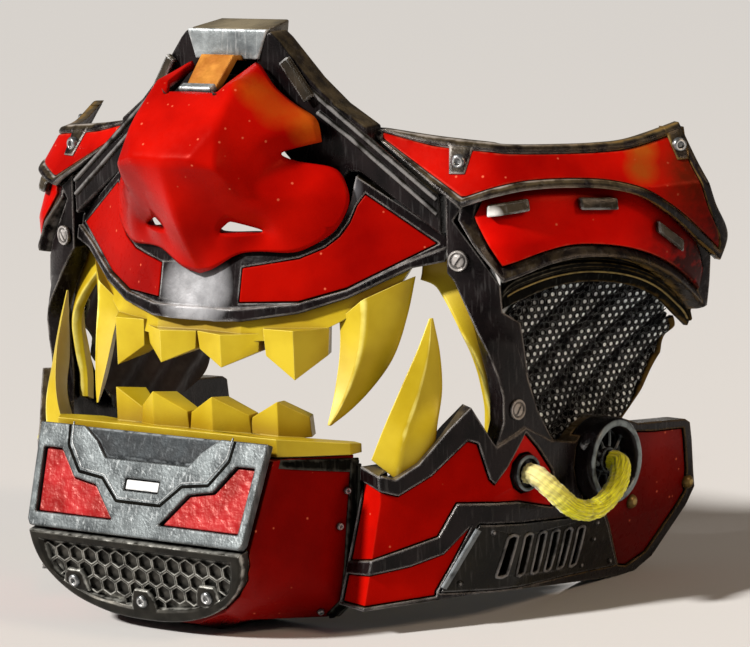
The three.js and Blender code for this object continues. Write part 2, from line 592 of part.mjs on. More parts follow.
// Teeth: columns x of the ridge, y of the ridge, half width, ridge height, then z at root, shoulder and tip.
const UPPER_GUM = [
  [0, 11.9], [14, 12.6], [28, 14.6], [39.5, 18.4], [53, 25.3], [50.5, 20.4], [38, 12.4], [30, 8], [0, 7.4],
];
const UPPER_TEETH = [
  { x: 10, y: -79.3, half: 9.3, ridge: 4.2, root: 9.6, shoulder: 4.9, tip: 1.1, turn: 8 },
  { x: 29.5, y: -73.9, half: 8.6, ridge: 4.4, root: 11, shoulder: 4, tip: -1.7, turn: 27 },
];
const LOWER_TEETH = [
  { x: 9.8, y: -83.6, half: 9.2, ridge: 4, root: -15.6, shoulder: -9, tip: -5.8, turn: 8 },
  { x: 26.8, y: -78.2, half: 8, ridge: 4, root: -16.6, shoulder: -9.6, tip: -6.7, turn: 26 },
];
const TOOTH_DEPTH = 4.6;

function tooth({ x, y, half, ridge, root, shoulder, tip, turn }) {
  const inset = half * 0.94;
  const local = [
    [-half, ridge, root], [0, 0, root], [half, ridge, root],
    [-inset, ridge, shoulder], [0, 0, tip], [inset, ridge, shoulder],
    [-half, ridge + TOOTH_DEPTH, root], [half, ridge + TOOTH_DEPTH, root],
    [-inset, ridge + TOOTH_DEPTH, shoulder], [0, ridge + TOOTH_DEPTH, tip + (shoulder - tip) * 0.4],
    [inset, ridge + TOOTH_DEPTH, shoulder],
  ];
  const geometry = new ConvexGeometry(local.map((point) => new THREE.Vector3(...point)));
  geometry.rotateZ(THREE.MathUtils.degToRad(turn));
  geometry.translate(x, y, 0);
  return solidOf(geometry);
}

function otherSide(solid) {
  return solidOf(mirrorX(geometryOf(solid)));
}

function withTeeth(gum, rows) {
  return rows.reduce((row, each) => row.add(tooth(each)).add(otherSide(tooth(each))), gum);
}

const upperGum = solidOf(bend(flatPlate(mirrored(UPPER_GUM), -7.5, -1), lipWall, GUM_CUTS));
const lipKeep = solidOf(
  bend(flatPlate(grow(lipOutline, GAP), -LIP_THICK - GAP, TRIM_OUT + GAP), lipWall, LIP_CUTS),
);
addPiece('upper_teeth', geometryOf(withTeeth(upperGum, UPPER_TEETH).subtract(lipKeep)), GOLD);

const LEDGE = { top: -13.4, bottom: -18, front: -91, topFall: 0.175, bottomFall: 0.06 };
const LEDGE_PLAN = [
  [0, -91], [36.2, -91], [38.4, -88.4], [48.4, -76.4], [47.8, -71], [42, -66], [30, -72], [15, -77],
  [0, -78.4],
];
function ledgeMap([x, y, d]) {
  const share = (d - LEDGE.bottom) / (LEDGE.top - LEDGE.bottom);
  const fall = LEDGE.bottomFall + (LEDGE.topFall - LEDGE.bottomFall) * share;
  return [x, y, d - fall * (y - LEDGE.front)];
}

const ledge = solidOf(bend(flatPlate(mirrored(LEDGE_PLAN), LEDGE.bottom, LEDGE.top), ledgeMap, []));
addPiece('lower_teeth', geometryOf(withTeeth(ledge, LOWER_TEETH)), GOLD);

// Fangs: rings from root to tip, each with an inner edge, a front ridge, an outer edge and a back edge.
const UPPER_FANG = [
  [[36.6, -63.6, 13], [44, -63.4, 18.4], [53.2, -52.6, 23.4], [44, -53.5, 18]],
  [[37, -64, 10], [44.2, -64, 12], [51.4, -54, 14], [44, -55.5, 11]],
  [[37.7, -65.3, 5.4], [44, -65.4, 5.6], [48.2, -57.6, 2], [43, -58.5, 3]],
  [[38.2, -68, -2.4], [42.6, -68, -2.6], [45.3, -62.4, -4.4], [41.4, -63, -3.8]],
  [[38.4, -70.8, -9], [40.6, -70.6, -9.2], [41.8, -67.8, -9.8], [39.8, -68, -9.6]],
  [[38.3, -72.5, -12.8], [38.9, -72.4, -12.9], [39.1, -71.9, -12.9], [38.6, -71.9, -12.8]],
];
const LOWER_FANG = [
  [[51.4, -72, -20.7], [58.2, -71.2, -25.2], [64.2, -62.4, -19.6], [55.8, -62.6, -21.2]],
  [[54.2, -70.9, -13.7], [59.6, -69.7, -15.9], [64.8, -61.7, -12.9], [58, -62.3, -13.8]],
  [[57.9, -66, -1.3], [61.3, -63.8, -3.5], [63.9, -57.8, -4.3], [59.5, -59, -3.1]],
  [[59.5, -61.6, 6.5], [61.7, -60, 5.7], [62.9, -56.8, 5.3], [60.5, -57.4, 5.9]],
  [[60.5, -57.6, 13.8], [61, -57.3, 13.8], [61.2, -56.8, 13.8], [60.7, -56.8, 13.8]],
];
const jawKeep = solidOf(
  bend(flatPlate(grow(JAW, GAP), LAYER.jawBack - GAP, LAYER.jawRim + GAP), skin, JAW_CUTS),
);
const teethKeep = solidOf(bend(flatPlate(grow(mirrored(UPPER_GUM), GAP), -7.8, -0.7), lipWall, LIP_CUTS));
const ledgeKeep = solidOf(
  bend(flatPlate(grow(mirrored(LEDGE_PLAN), GAP), LEDGE.bottom - GAP, LEDGE.top + GAP), ledgeMap, []),
);
const upperFang = solidOf(loft(UPPER_FANG)).subtract(lipKeep).subtract(teethKeep);
addPair('upper_fang', geometryOf(upperFang), GOLD);
addPair('lower_fang', geometryOf(solidOf(loft(LOWER_FANG)).subtract(jawKeep).subtract(ledgeKeep)), GOLD);

// Brow bracket: bridge block and two legs, columns x, z.
const BRIDGE = {
  half: 13.2, backHalf: 11.3, top: 86, backTop: 87.6, bottom: 78.6, lowHalf: 10, front: -57.3, back: -46.5,
};
const LEG_OUTLINE = [
  [9, 84], [14, 85.4], [16, 83.6], [25, 73.2], [32, 66.8], [40.6, 61.2], [40.6, 57.2], [61, 44.5],
  [61, 34.1], [38.4, 49.6], [35.4, 49.8], [32.5, 46.5], [24, 46], [14, 57], [10, 72], [9, 79],
];
const LEG_THICK = 7;
const LEG_CUTS = [{ normal: [1, 0], at: [12, 28, 44] }];
const legFlat = flatPlate(LEG_OUTLINE, -LEG_THICK, 0);
const bridgeCorners = [-1, 1].flatMap((side) => [
  [side * BRIDGE.half, BRIDGE.front, BRIDGE.top], [side * BRIDGE.lowHalf, BRIDGE.front - 0.8, BRIDGE.bottom],
  [side * BRIDGE.backHalf, BRIDGE.back, BRIDGE.backTop],
  [side * BRIDGE.lowHalf, BRIDGE.back, BRIDGE.bottom + 0.6],
]);
const bridge = solidOf(new ConvexGeometry(bridgeCorners.map((corner) => new THREE.Vector3(...corner))));
const leg = solidOf(bend(legFlat, legWall, LEG_CUTS));
addPiece('brow_bracket', geometryOf(bridge.add(leg).add(otherSide(leg))), STEEL);

// Nose: corners of its facets on one side, and the facets that join them.
const NOSE = {
  m0: [0, -60.2, 78], m1: [0, -72.6, 72.8], m2: [0, -82.6, 64], m3: [0, -89, 55.2], m4: [0, -82.4, 36.4],
  m5: [0, -74, 24.2], e0: [11.6, -60.4, 77.4], e1: [13, -71.8, 74], e2: [14, -82, 63.8],
  t: [9.2, -88.8, 55.3], s: [16, -86.2, 53.4], k0: [8.4, -60.4, 77.8], k1: [7.4, -71.6, 73.2],
  k2: [5.6, -74.4, 71.6], a1: [17, -61.6, 71.6], a2: [23.6, -61, 67], u: [30.3, -60.6, 64],
  u2: [30.9, -60.4, 57.8], b: [20, -73, 60.6], n: [20, -66.5, 55.1], l: [20, -79.2, 45.8],
  w0: [26, -64.2, 52.8], w1: [35.6, -59.2, 51.6], w2: [39.2, -59.4, 43], w3: [36.2, -62.8, 35],
  w4: [27.6, -68.2, 29.8], w5: [18.7, -71.4, 30.6], w6: [31.5, -67, 45], q: [24, -73, 39],
  n1: [8.2, -76.8, 35.4], n2: [12.4, -76.2, 38.6], n3: [21.1, -70, 35.5], v: [13, -75.8, 34.7],
  p: [5.2, -75, 25.6], p2: [12.6, -73.6, 30.2],
};
const NOSE_FACETS = [
  ['m1', 'm2', 'e2', 'e1', 'k2'], ['m2', 'm3', 't', 'e2'], ['k0', 'k1', 'e1', 'e0'], ['k1', 'k2', 'e1'],
  ['e2', 't', 's'], ['m3', 'm4', 'n1', 'n2', 't'], ['t', 'n2', 'l', 's'], ['m4', 'm5', 'p', 'n1'],
  ['e0', 'e1', 'a1'], ['e1', 'a2', 'a1'], ['e1', 'b', 'u', 'a2'], ['e1', 'e2', 'b'], ['e2', 's', 'l', 'b'],
  ['b', 'n', 'u2', 'u'], ['b', 'l', 'n'], ['n', 'l', 'w6', 'w0'], ['w0', 'w6', 'w1'], ['w1', 'w6', 'w2'],
  ['l', 'q', 'w6'], ['w6', 'q', 'w3'], ['w6', 'w3', 'w2'], ['q', 'w4', 'w3'], ['l', 'n2', 'n3', 'q'],
  ['q', 'n3', 'w5', 'w4'], ['n1', 'p', 'p2', 'v'], ['v', 'p2', 'w5', 'n3'],
];
const NOSE_WALL = 2.4;

function noseShell() {
  const names = Object.keys(NOSE);
  const points = names.map((name) => NOSE[name]);
  const twin = names.map((name, i) => (Math.abs(NOSE[name][0]) < 1e-6 ? i : names.length + i));
  const all = [...points, ...points.map(([x, y, z]) => [-x, y, z])];
  const half = NOSE_FACETS.map((facet) => facet.map((name) => names.indexOf(name)));
  const other = half.map((facet) => facet.map((i) => twin[i]).reverse());
  return thicken(all, [...half, ...other], NOSE_WALL);
}

// Gives an open surface a wall on its inner side and closes every free edge.
function thicken(points, faces, thickness) {
  const normals = points.map(() => new THREE.Vector3());
  const triangles = faces.flatMap((face) => {
    const fan = [];
    for (let i = 1; i + 1 < face.length; i += 1) fan.push([face[0], face[i], face[i + 1]]);
    return fan;
  });
  for (const [a, b, c] of triangles) {
    const [p, q, r] = [a, b, c].map((i) => new THREE.Vector3(...points[i]));
    const facing = q.clone().sub(p).cross(r.clone().sub(p));
    for (const i of [a, b, c]) normals[i].add(facing);
  }
  const inner = points.map((point, i) => {
    const inward = normals[i].clone().normalize().multiplyScalar(-thickness);
    return [point[0] + inward.x, point[1] + inward.y, point[2] + inward.z];
  });
  const count = points.length;
  const seen = new Set(triangles.flatMap(([a, b, c]) => [`${a}_${b}`, `${b}_${c}`, `${c}_${a}`]));
  const walls = [];
  for (const [a, b, c] of triangles) {
    for (const [i, j] of [[a, b], [b, c], [c, a]]) {
      if (!seen.has(`${j}_${i}`)) walls.push([j, i, i + count, j + count]);
    }
  }
  const back = triangles.map(([a, b, c]) => [a + count, c + count, b + count]);
  return outward(facesOf([...points, ...inner], [...triangles, ...back, ...walls]));
}

const legKeep = solidOf(bend(flatPlate(grow(LEG_OUTLINE, GAP), -LEG_THICK, GAP), legWall, LEG_CUTS));
const bridgeKeep = solidOf(
  new ConvexGeometry(
    bridgeCorners.map(([x, y, z]) => new THREE.Vector3(x * 1.03, y - GAP, z + (z > 82 ? 0.4 : -0.4))),
  ),
);
const noseSolid = [lipKeep, legKeep, otherSide(legKeep), bridgeKeep].reduce(
  (nose, keep) => nose.subtract(keep),
  solidOf(noseShell()),
);
addPiece('nose', geometryOf(noseSolid), RED);

// Copper tab in the slot of the nose bridge, and the clips beside it.
const TAB = { half: 5.4, lowHalf: 4.9, root: [-58.8, 79.2], top: [-63, 79.7], low: [-70.4, 72], thick: 1.6 };
const tabRing = [[-1, 0], [1, 0], [1, 1], [-1, 1]];
function tabRow(half, [y, z]) {
  return tabRing.map(([side, back]) => [side * half, y + back * TAB.thick, z - back * TAB.thick]);
}
const tabRows = [tabRow(TAB.half, TAB.root), tabRow(TAB.half, TAB.top), tabRow(TAB.lowHalf, TAB.low)];
addPiece('nose_tab', geometryOf(solidOf(loft(tabRows)).subtract(bridgeKeep)), COPPER);

const BRACKET_CLIP = { at: [22.1, 73.3], along: [0.573, -0.819], half: 6.1, wide: 1.5, out: 2.2 };
const clipCorners = [[-1, 1], [-1, -1], [1, -1], [1, 1]];
const clipOutline = clipCorners.map(([end, side]) => {
  const { at, along, half, wide } = BRACKET_CLIP;
  const across = [along[1], -along[0]];
  return at.map((v, k) => v + end * half * along[k] + side * wide * across[k]);
});
const clipBar = solidOf(bend(flatPlate(clipOutline, GAP, BRACKET_CLIP.out), legWall, LEG_CUTS));
const clipSolid = clipBar.subtract(noseSolid);
addPair('bracket_clip', geometryOf(clipSolid), SILVER);

// Chin: silver front plate with red inlays over a grille, on a red box. Columns x, v (down the slope).
const PLATE_TOP = { y: -96.1, z: -13.6 };
const PLATE_FALL = { y: 9.4, z: 23.7 };
const GRILLE_TOP = { y: -106.4, z: -39.8 };
const GRILLE_FALL = { y: -3.7, z: 18 };
const PLATE_THICK = 2.6;
const PLATE = [[0, 0], [37.6, 0], [35.6, 25.6], [34.6, 27.2], [0, 27.2]];
const PLATE_RECESS = [[0, -1], [23.4, -1], [22.6, 0], [17.6, 3.4], [13.8, 7.7], [0, 7.7]];
const PLATE_INSERT = [[34.6, 6.7], [29, 6.7], [23.1, 13.8], [15.5, 15.1], [8.2, 23.2], [33.2, 23.2]];
const PLATE_LIGHT = [[-5.4, 12.6], [5.4, 12.6], [5.4, 15.2], [-5.4, 15.2]];
const plateMap = slope(PLATE_TOP, PLATE_FALL);
const grilleMap = slope(GRILLE_TOP, GRILLE_FALL);

const otherInsert = PLATE_INSERT.map(([x, v]) => [-x, v]).reverse();
const plateFlat = flatPlate(mirrored(PLATE), -PLATE_THICK, 0)
  .subtract(flatPlate(mirrored(PLATE_RECESS), -1.2, 9))
  .subtract(flatPlate(grow(PLATE_INSERT, GAP), -9, 9))
  .subtract(flatPlate(grow(otherInsert, GAP), -9, 9))
  .subtract(flatPlate(grow(PLATE_LIGHT, GAP), -1.5, 9));
addPiece('chin_plate', bend(plateFlat, plateMap, []), SILVER);
addPair('chin_insert', bend(flatPlate(PLATE_INSERT, -PLATE_THICK, -1.2), plateMap, []), RED);
addPiece('chin_light', bend(flatPlate(PLATE_LIGHT, -1.5 + GAP, -0.4), plateMap, []), WHITE);

const GRILLE = [[0, 0.6], [35, 0.6], [34.6, 4.5], [33.2, 8.6], [30, 12.8], [25, 16.8], [15.5, 20.6], [0, 22.3]];
const GRILLE_RECESS = [[0, 3.2], [30.9, 3.2], [30, 8], [28.4, 11.6], [24, 14.4], [17, 17], [0, 18.7]];
const GRILLE_TABS = [[-22, 13.4], [0, 16.8], [22, 13.4]];
const GRILLE_THICK = 3.6;
const CELL = { pitch: 4.9, size: 2.35, rows: 4, top: 5.6, rise: 4.1 };

function hexCell(x, v) {
  return Array.from({ length: 6 }, (_, i) => {
    const angle = (Math.PI * i) / 3 + Math.PI / 6;
    return [x + CELL.size * Math.cos(angle), v + CELL.size * Math.sin(angle)];
  });
}

let grilleFlat = flatPlate(mirrored(GRILLE), -GRILLE_THICK, 0).subtract(
  flatPlate(mirrored(GRILLE_RECESS), -1.5, 9),
);
for (const [x, v] of GRILLE_TABS) {
  const half = [[-4.4, 7], [-3.4, -1.6], [-2.2, -3]];
  const tab = [...half, ...half.map(([a, b]) => [-a, b]).reverse()].map(([a, b]) => [x + a, v + b]);
  grilleFlat = grilleFlat.add(
    flatPlate(tab, -2, -0.2).intersect(flatPlate(grow(mirrored(GRILLE_RECESS), 0.5), -9, 9)),
  );
}
const inRecess = (x, v) => {
  const inner = mirrored(GRILLE_RECESS).map(([a, b]) => new THREE.Vector2(a, b));
  return inner.every((a, i) => {
    const b = inner[(i + 1) % inner.length];
    const turn = (b.x - a.x) * (v - a.y) - (b.y - a.y) * (x - a.x);
    return turn / a.distanceTo(b) > CELL.size * 0.95;
  });
};
for (let row = 0; row < CELL.rows; row += 1) {
  const v = CELL.top + row * CELL.rise;
  for (let i = -7; i <= 7; i += 1) {
    const x = (i + (row % 2) / 2) * CELL.pitch;
    const clear = GRILLE_TABS.every(([a, b]) => Math.abs(x - a) > 6.6 || v < b - 5.2);
    if (inRecess(x, v) && clear) grilleFlat = grilleFlat.subtract(flatPlate(hexCell(x, v), -9, 9));
  }
}
addPiece('chin_grille', bend(grilleFlat, grilleMap, []), BLACK);

// Chin box: half sections at the front and at the rear, columns x, y, z from the top edge to the middle.
const BOX_FRONT = [
  [37.2, -93.6, -18.4], [35.4, -101.6, -38.6], [35.2, -102.6, -41], [34.4, -102, -45.6], [30, -100.6, -52.6],
  [24, -99.4, -57.4], [14, -97.8, -61.6], [0, -96.6, -62.6],
];
const BOX_BREAK = [
  [37.6, -90.4, -18.5], [36.2, -98.4, -38.6], [36, -98.4, -41], [35.4, -97.6, -46], [32, -96.4, -54],
  [26, -94.6, -60], [15, -90.4, -64.5], [0, -90, -64.5],
];
const BOX_REAR = [
  [46.4, -72.6, -19.6], [45.4, -74, -38.6], [45.2, -74.2, -42], [44.8, -74.6, -48], [43.6, -75, -57],
  [38, -75, -62], [20, -75, -64.5], [0, -75, -64.5],
];
const BOX_WALL = 4;

function boxRing(rows) {
  return [...rows, ...rows.slice(0, -1).reverse().map(([x, y, z]) => [-x, y, z])];
}

const boxOuter = solidOf(loft([boxRing(BOX_FRONT), boxRing(BOX_BREAK), boxRing(BOX_REAR)]));
const BOX_CEILING = -21;

function hollow(rows, back) {

  return rows.map(([x, y, z]) => [x - Math.sign(x) * BOX_WALL, y + back, Math.min(z + BOX_WALL, BOX_CEILING)]);
}

const boxInner = solidOf(loft([boxRing(hollow(BOX_BREAK, 3.4)), boxRing(hollow(BOX_REAR, 6))]));
const plateKeep = solidOf(bend(flatPlate(grow(mirrored(PLATE), 1), -PLATE_THICK - GAP, 9), plateMap, []));
const grilleKeep = solidOf(bend(flatPlate(grow(mirrored(GRILLE), GAP), -GRILLE_THICK - GAP, 9), grilleMap, []));
const chinBox = boxOuter.subtract(boxInner).subtract(plateKeep).subtract(grilleKeep);
addPiece('chin_box', geometryOf(chinBox), RED);

export default group;
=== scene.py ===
"""Looks of the oni half mask: smooth armour plates, worn paint, wire mesh, cords and fasteners.

Shapes are worked out in the face frame of the mask, in millimetres: the origin lies in the hollow level with the
mouth corners, the face looks toward -Y and +X is the wearer's left. REST carries that frame to the row's frame, where
the mask stands on z = 0.
"""

import logging
import math
from dataclasses import dataclass, field, replace
from enum import Enum
from typing import Iterator, Protocol, Sequence

import bmesh
import bpy
import numpy as np
from mathutils import Matrix, Vector


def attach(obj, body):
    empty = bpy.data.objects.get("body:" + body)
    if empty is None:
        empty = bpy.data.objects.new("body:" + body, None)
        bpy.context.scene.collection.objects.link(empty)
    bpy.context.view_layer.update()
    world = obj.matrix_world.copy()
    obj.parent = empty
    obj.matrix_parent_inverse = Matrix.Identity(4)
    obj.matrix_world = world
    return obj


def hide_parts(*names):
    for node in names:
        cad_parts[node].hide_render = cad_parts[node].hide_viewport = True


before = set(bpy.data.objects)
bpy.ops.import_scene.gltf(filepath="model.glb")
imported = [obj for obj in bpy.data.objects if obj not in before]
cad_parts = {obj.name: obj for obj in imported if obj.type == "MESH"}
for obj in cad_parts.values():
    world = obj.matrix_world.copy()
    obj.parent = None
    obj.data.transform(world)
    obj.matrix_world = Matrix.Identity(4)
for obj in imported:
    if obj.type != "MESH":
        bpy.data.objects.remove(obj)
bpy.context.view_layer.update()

log = logging.getLogger("oni_half_mask")

Array = np.ndarray
Points = Sequence[tuple[float, ...]]
Pair = tuple[float, float]
Triple = tuple[float, float, float]
Colour = tuple[float, float, float, float]
Tree = bpy.types.NodeTree
Socket = bpy.types.NodeSocket

MM = 0.001
REST = np.array([0.0, 37.2, 64.5])
CELL_SIDES = 6
# A recast casting: distance that welds its corners, angle that counts as flat, size of specks, and what looks sideways.
WELD_MM, FLAT_DEG, SPECK_MM, SIDEWAYS = 0.004, 1.0, 0.2, 0.8
# Wear of panels and frames: its reach from a border, its share on a raised step and its growth with a bend.
PLATE_WEAR_MM, FRAME_WEAR_MM, STEP_WEAR, BEND_WEAR = 0.8, 0.55, 0.8, 4.0
# Short way along a wall that gives its directions at a seat.
NUDGE_MM = 0.5


class Side(Enum):
    """The two mirror halves of the mask, by the wearer's hand."""

    LEFT = "left"
    RIGHT = "right"


# ---- walls ----


def ease(t: Array) -> Array:
    """Smooth step: 3t^2 - 2t^3 of t held between 0 and 1."""
    c = np.clip(t, 0.0, 1.0)
    return c * c * (3.0 - 2.0 * c)


def ease_over(value: Array, span: Pair) -> Array:
    """Smooth step of a value across a span."""
    return ease((value - span[0]) / (span[1] - span[0]))


def unit(vectors: Array) -> Array:
    """Vectors brought to length 1, along the last axis."""
    return vectors / np.linalg.norm(vectors, axis=-1, keepdims=True)


def alike(*values: Array) -> Sequence[Array]:
    """The values as arrays of numbers of one shape."""
    return np.broadcast_arrays(*[np.asarray(value, float) for value in values])


def soften(t: Array, radius: float) -> Array:
    """Soft ramp: half of t plus its length with the radius, near 0 for t << 0 and t for t >> 0."""
    return (t + np.hypot(t, radius)) / 2.0


def soften_rate(t: Array, radius: float) -> Array:
    """Slope of the soft ramp at t."""
    return (1.0 + t / np.hypot(t, radius)) / 2.0


class Wall(Protocol):
    """A curved sheet that pieces are laid on."""

    def point(self, u: Array, v: Array, d: Array) -> Array:
        """Places (u, v) of the sheet at distance d out of it."""


@dataclass(frozen=True)
class SideSkin:
    """Side of the mask: a flank running back from a rounded corner, with a front run that differs at cheek and jaw."""

    corner: Pair = (77.2, -48.5)
    corner_round: float = 5.0
    flare: Pair = (3.8, 31.0)
    flare_span: Pair = (-15.0, 45.0)
    front_turn: Pair = (36.0, 76.0)
    front_span: Pair = (0.0, 25.0)
    arris_run: float = 34.5
    arris_round: float = 0.8
    arris_stretch: float = 0.2
    arris_turn: Pair = (-0.92, 0.39)
    low_from: float = -30.0
    taper: float = 9.0
    taper_over: float = 35.0
    taper_span: Pair = (-20.0, 40.0)
    lean: float = 0.62
    lean_above: float = 44.0
    drop: float = 0.6
    drop_over: float = 15.0

    def point(self, u: Array, v: Array, d: Array) -> Array:
        """Places s (back from the corner), z and d on the side.

        The plan at each height is a flank line and a front line joined by soft ramps of s, the front line turning
        inward again past the jaw arris; the point is then carried out along the plan's normal by d less the taper at
        the foot of the jaw and the lean of the upper cheek.

        Args:
            u: distance s back from the corner, in mm.
            v: height z, in mm.
            d: distance out of the skin, in mm.

        Returns:
            Points of shape (..., 3).
        """
        s, z, d = alike(u, v, d)
        cheek = ease_over(z, self.front_span)
        turn = np.radians(self.front_turn[0] + (self.front_turn[1] - self.front_turn[0]) * cheek)
        rise = ease_over(z, self.flare_span)
        flare = np.radians(self.flare[0] + (self.flare[1] - self.flare[0]) * rise)
        flank = np.stack([np.sin(flare), np.cos(flare)], -1)
        front = np.stack([-np.sin(turn), -np.cos(turn)], -1)
        below = np.maximum(0.0, self.low_from - z)
        stretch = (1.0 + self.arris_stretch * below / self.arris_run)[..., None]
        past = ((1.0 - cheek) * soften(-s - self.arris_run, self.arris_round))[..., None]
        past_rate = ((1.0 - cheek) * soften_rate(-s - self.arris_run, self.arris_round))[..., None]
        ahead = soften(-s, self.corner_round)[..., None]
        ahead_rate = soften_rate(-s, self.corner_round)[..., None]
        behind = soften(s, self.corner_round)[..., None]
        behind_rate = soften_rate(s, self.corner_round)[..., None]
        inward = np.array(self.arris_turn)
        at = flank * behind + front * stretch * (ahead - past) + inward * past
        run = unit(flank * behind_rate - front * stretch * (ahead_rate - past_rate) - inward * past_rate)
        depth = ease_over(s, self.taper_span)
        taper = self.taper * (below / self.taper_over) ** 2 * depth
        out = d - taper - self.lean * np.maximum(0.0, z - self.lean_above)
        drop = self.drop * np.clip((z + REST[2]) / self.drop_over, 0.0, 1.0)
        x = self.corner[0] + at[..., 0] + run[..., 1] * out
        y = self.corner[1] + at[..., 1] - run[..., 0] * out
        return np.stack([x, y, z - drop], -1)


@dataclass(frozen=True)
class SkirtWall:
    """The cheek band's wall: the side skin with its face swung outward below the cheek."""

    skin: SideSkin
    back: float
    face: float
    rate: float = 0.33
    top: float = 45.6
    fall: float = 7.45e-5
    depth: float = 13.0

    def point(self, u: Array, v: Array, d: Array) -> Array:
        """Places s, z and d, where d grows by a swing that rises with the distance below the cheek's edge.

        Args:
            u: first place on the wall, in mm.
            v: second place, in mm.
            d: distance out of the wall, in mm.

        Returns:
            Points of shape (..., 3).
        """
        s, z, d = alike(u, v, d)
        below = self.top - self.fall * np.maximum(0.0, s) ** 3 - z
        swing = self.rate * np.clip(below, 0.0, self.depth)
        return self.skin.point(s, z, d + swing * (d - self.back) / (self.face - self.back))


@dataclass(frozen=True)
class FoldedWall:
    """The vent's wall: the side skin pleated in slanting folds."""

    skin: SideSkin
    turn_deg: float = 35.0
    pitch: float = 9.6
    height: float = 1.1
    phase: float = 4.2
    climb: float = 0.3

    def point(self, u: Array, v: Array, d: Array) -> Array:
        """Places s, z and d, with d moved by the rise of the folds across their slant."""
        s, z, d = alike(u, v, d)
        return self.skin.point(s, z, d + self.height * 2.0 * (self.rise(s, z) - 1.0))

    def rise(self, s: Array, z: Array) -> Array:
        """Share of the fold's height: a quick climb over its share of the pitch and a slow fall, both eased.

        Args:
            s: distance back, in mm.
            z: height, in mm.

        Returns:
            Shares from 0 to 1.
        """
        turn = math.radians(self.turn_deg)
        across = (z * math.cos(turn) - s * math.sin(turn) + self.phase) / self.pitch
        t = across - np.floor(across)
        return np.where(t < self.climb, ease(t / self.climb), ease((1.0 - t) / (1.0 - self.climb)))


@dataclass(frozen=True)
class LegWall:
    """Front of the brow bracket: its legs fall back as they run outward."""

    front: float = -58.5
    slope: float = 0.133
    level_to: float = 12.0
    turn: float = 0.25
    turn_span: Pair = (40.0, 60.0)

    def point(self, u: Array, v: Array, d: Array) -> Array:
        """Places x, z and d: y falls back in proportion to x past the bridge, and d also moves the far end outward.

        Args:
            u: first place on the wall, in mm.
            v: second place, in mm.
            d: distance out of the wall, in mm.

        Returns:
            Points of shape (..., 3).
        """
        x, z, d = alike(u, v, d)
        turn = self.turn * ease_over(x, self.turn_span)
        y = self.front + self.slope * np.maximum(0.0, x - self.level_to) - d
        return np.stack([x + turn * d, y, z], -1)


@dataclass(frozen=True)
class SlopeWall:
    """A flat slope across the chin, given by its top edge and its fall."""

    top: Pair
    fall: Pair

    def point(self, u: Array, v: Array, d: Array) -> Array:
        """Places x, v down the slope and d out of it.

        Args:
            u: first place on the wall, in mm.
            v: second place, in mm.
            d: distance out of the wall, in mm.

        Returns:
            Points of shape (..., 3).
        """
        x, v, d = alike(u, v, d)
        down = np.array(self.fall) / math.hypot(*self.fall)
        y = self.top[0] - down[0] * v - down[1] * d
        z = self.top[1] - down[1] * v + down[0] * d
        return np.stack([x, y, z], -1)


@dataclass(frozen=True)
class BoxWall:
    """Side of the chin box, ruled between its front and rear sections; rows run from the top edge to the bottom."""

    front: Points = (
        (37.6, -90.4, -18.5), (36.2, -98.4, -38.6), (36, -98.4, -41), (35.4, -97.6, -46), (32, -96.4, -54),
        (26, -94.6, -60),
    )
    rear: Points = (
        (46.4, -72.6, -19.6), (45.4, -74, -38.6), (45.2, -74.2, -42), (44.8, -74.6, -48), (43.6, -75, -57),
        (38, -75, -62),
    )
    run: float = 20.0
    nudge: float = 0.1

    def sheet(self, u: Array, v: Array) -> Array:
        """Points of the side at u mm back and height v: each section read at its own height, then joined straight.

        Args:
            u: first place on the wall, in mm.
            v: second place, in mm.

        Returns:
            Points of shape (..., 3).
        """
        front, rear = np.asarray(self.front, float), np.asarray(self.rear, float)
        rows = np.arange(len(front), dtype=float)
        row = np.interp(-v, -front[:, 2], rows)
        ends = [np.stack([np.interp(row, rows, side[:, k]) for k in range(3)], -1) for side in (front, rear)]
        share = (u / self.run)[..., None]
        return ends[0] + (ends[1] - ends[0]) * share

    def point(self, u: Array, v: Array, d: Array) -> Array:
        """Places u, v and d out of the side, along the cross product of its two directions.

        Args:
            u: first place on the wall, in mm.
            v: second place, in mm.
            d: distance out of the wall, in mm.

        Returns:
            Points of shape (..., 3).
        """
        u, v, d = alike(u, v, d)
        at = self.sheet(u, v)
        out = np.cross(self.sheet(u + self.nudge, v) - at, self.sheet(u, v + self.nudge) - at)
        return at + unit(out) * d[..., None]


SKIN = SideSkin()
FOLDS = FoldedWall(SKIN)
LEG = LegWall()
CHIN_SLOPE = SlopeWall((-96.1, -13.6), (9.4, 23.7))
GRILLE_SLOPE = SlopeWall((-106.4, -39.8), (-3.7, 18.0))
BOX_SIDE = BoxWall()
SLOT_SLOPE = SlopeWall((-60.4, 76.2), (13.0, 6.0))
SLOT_SCREEN = SlopeWall((-57.4, 79.2), (0.0, 12.0))
BRIDGE_SLOPE = SlopeWall((-58.6, 86.0), (0.6, 7.4))


# ---- shapes ----


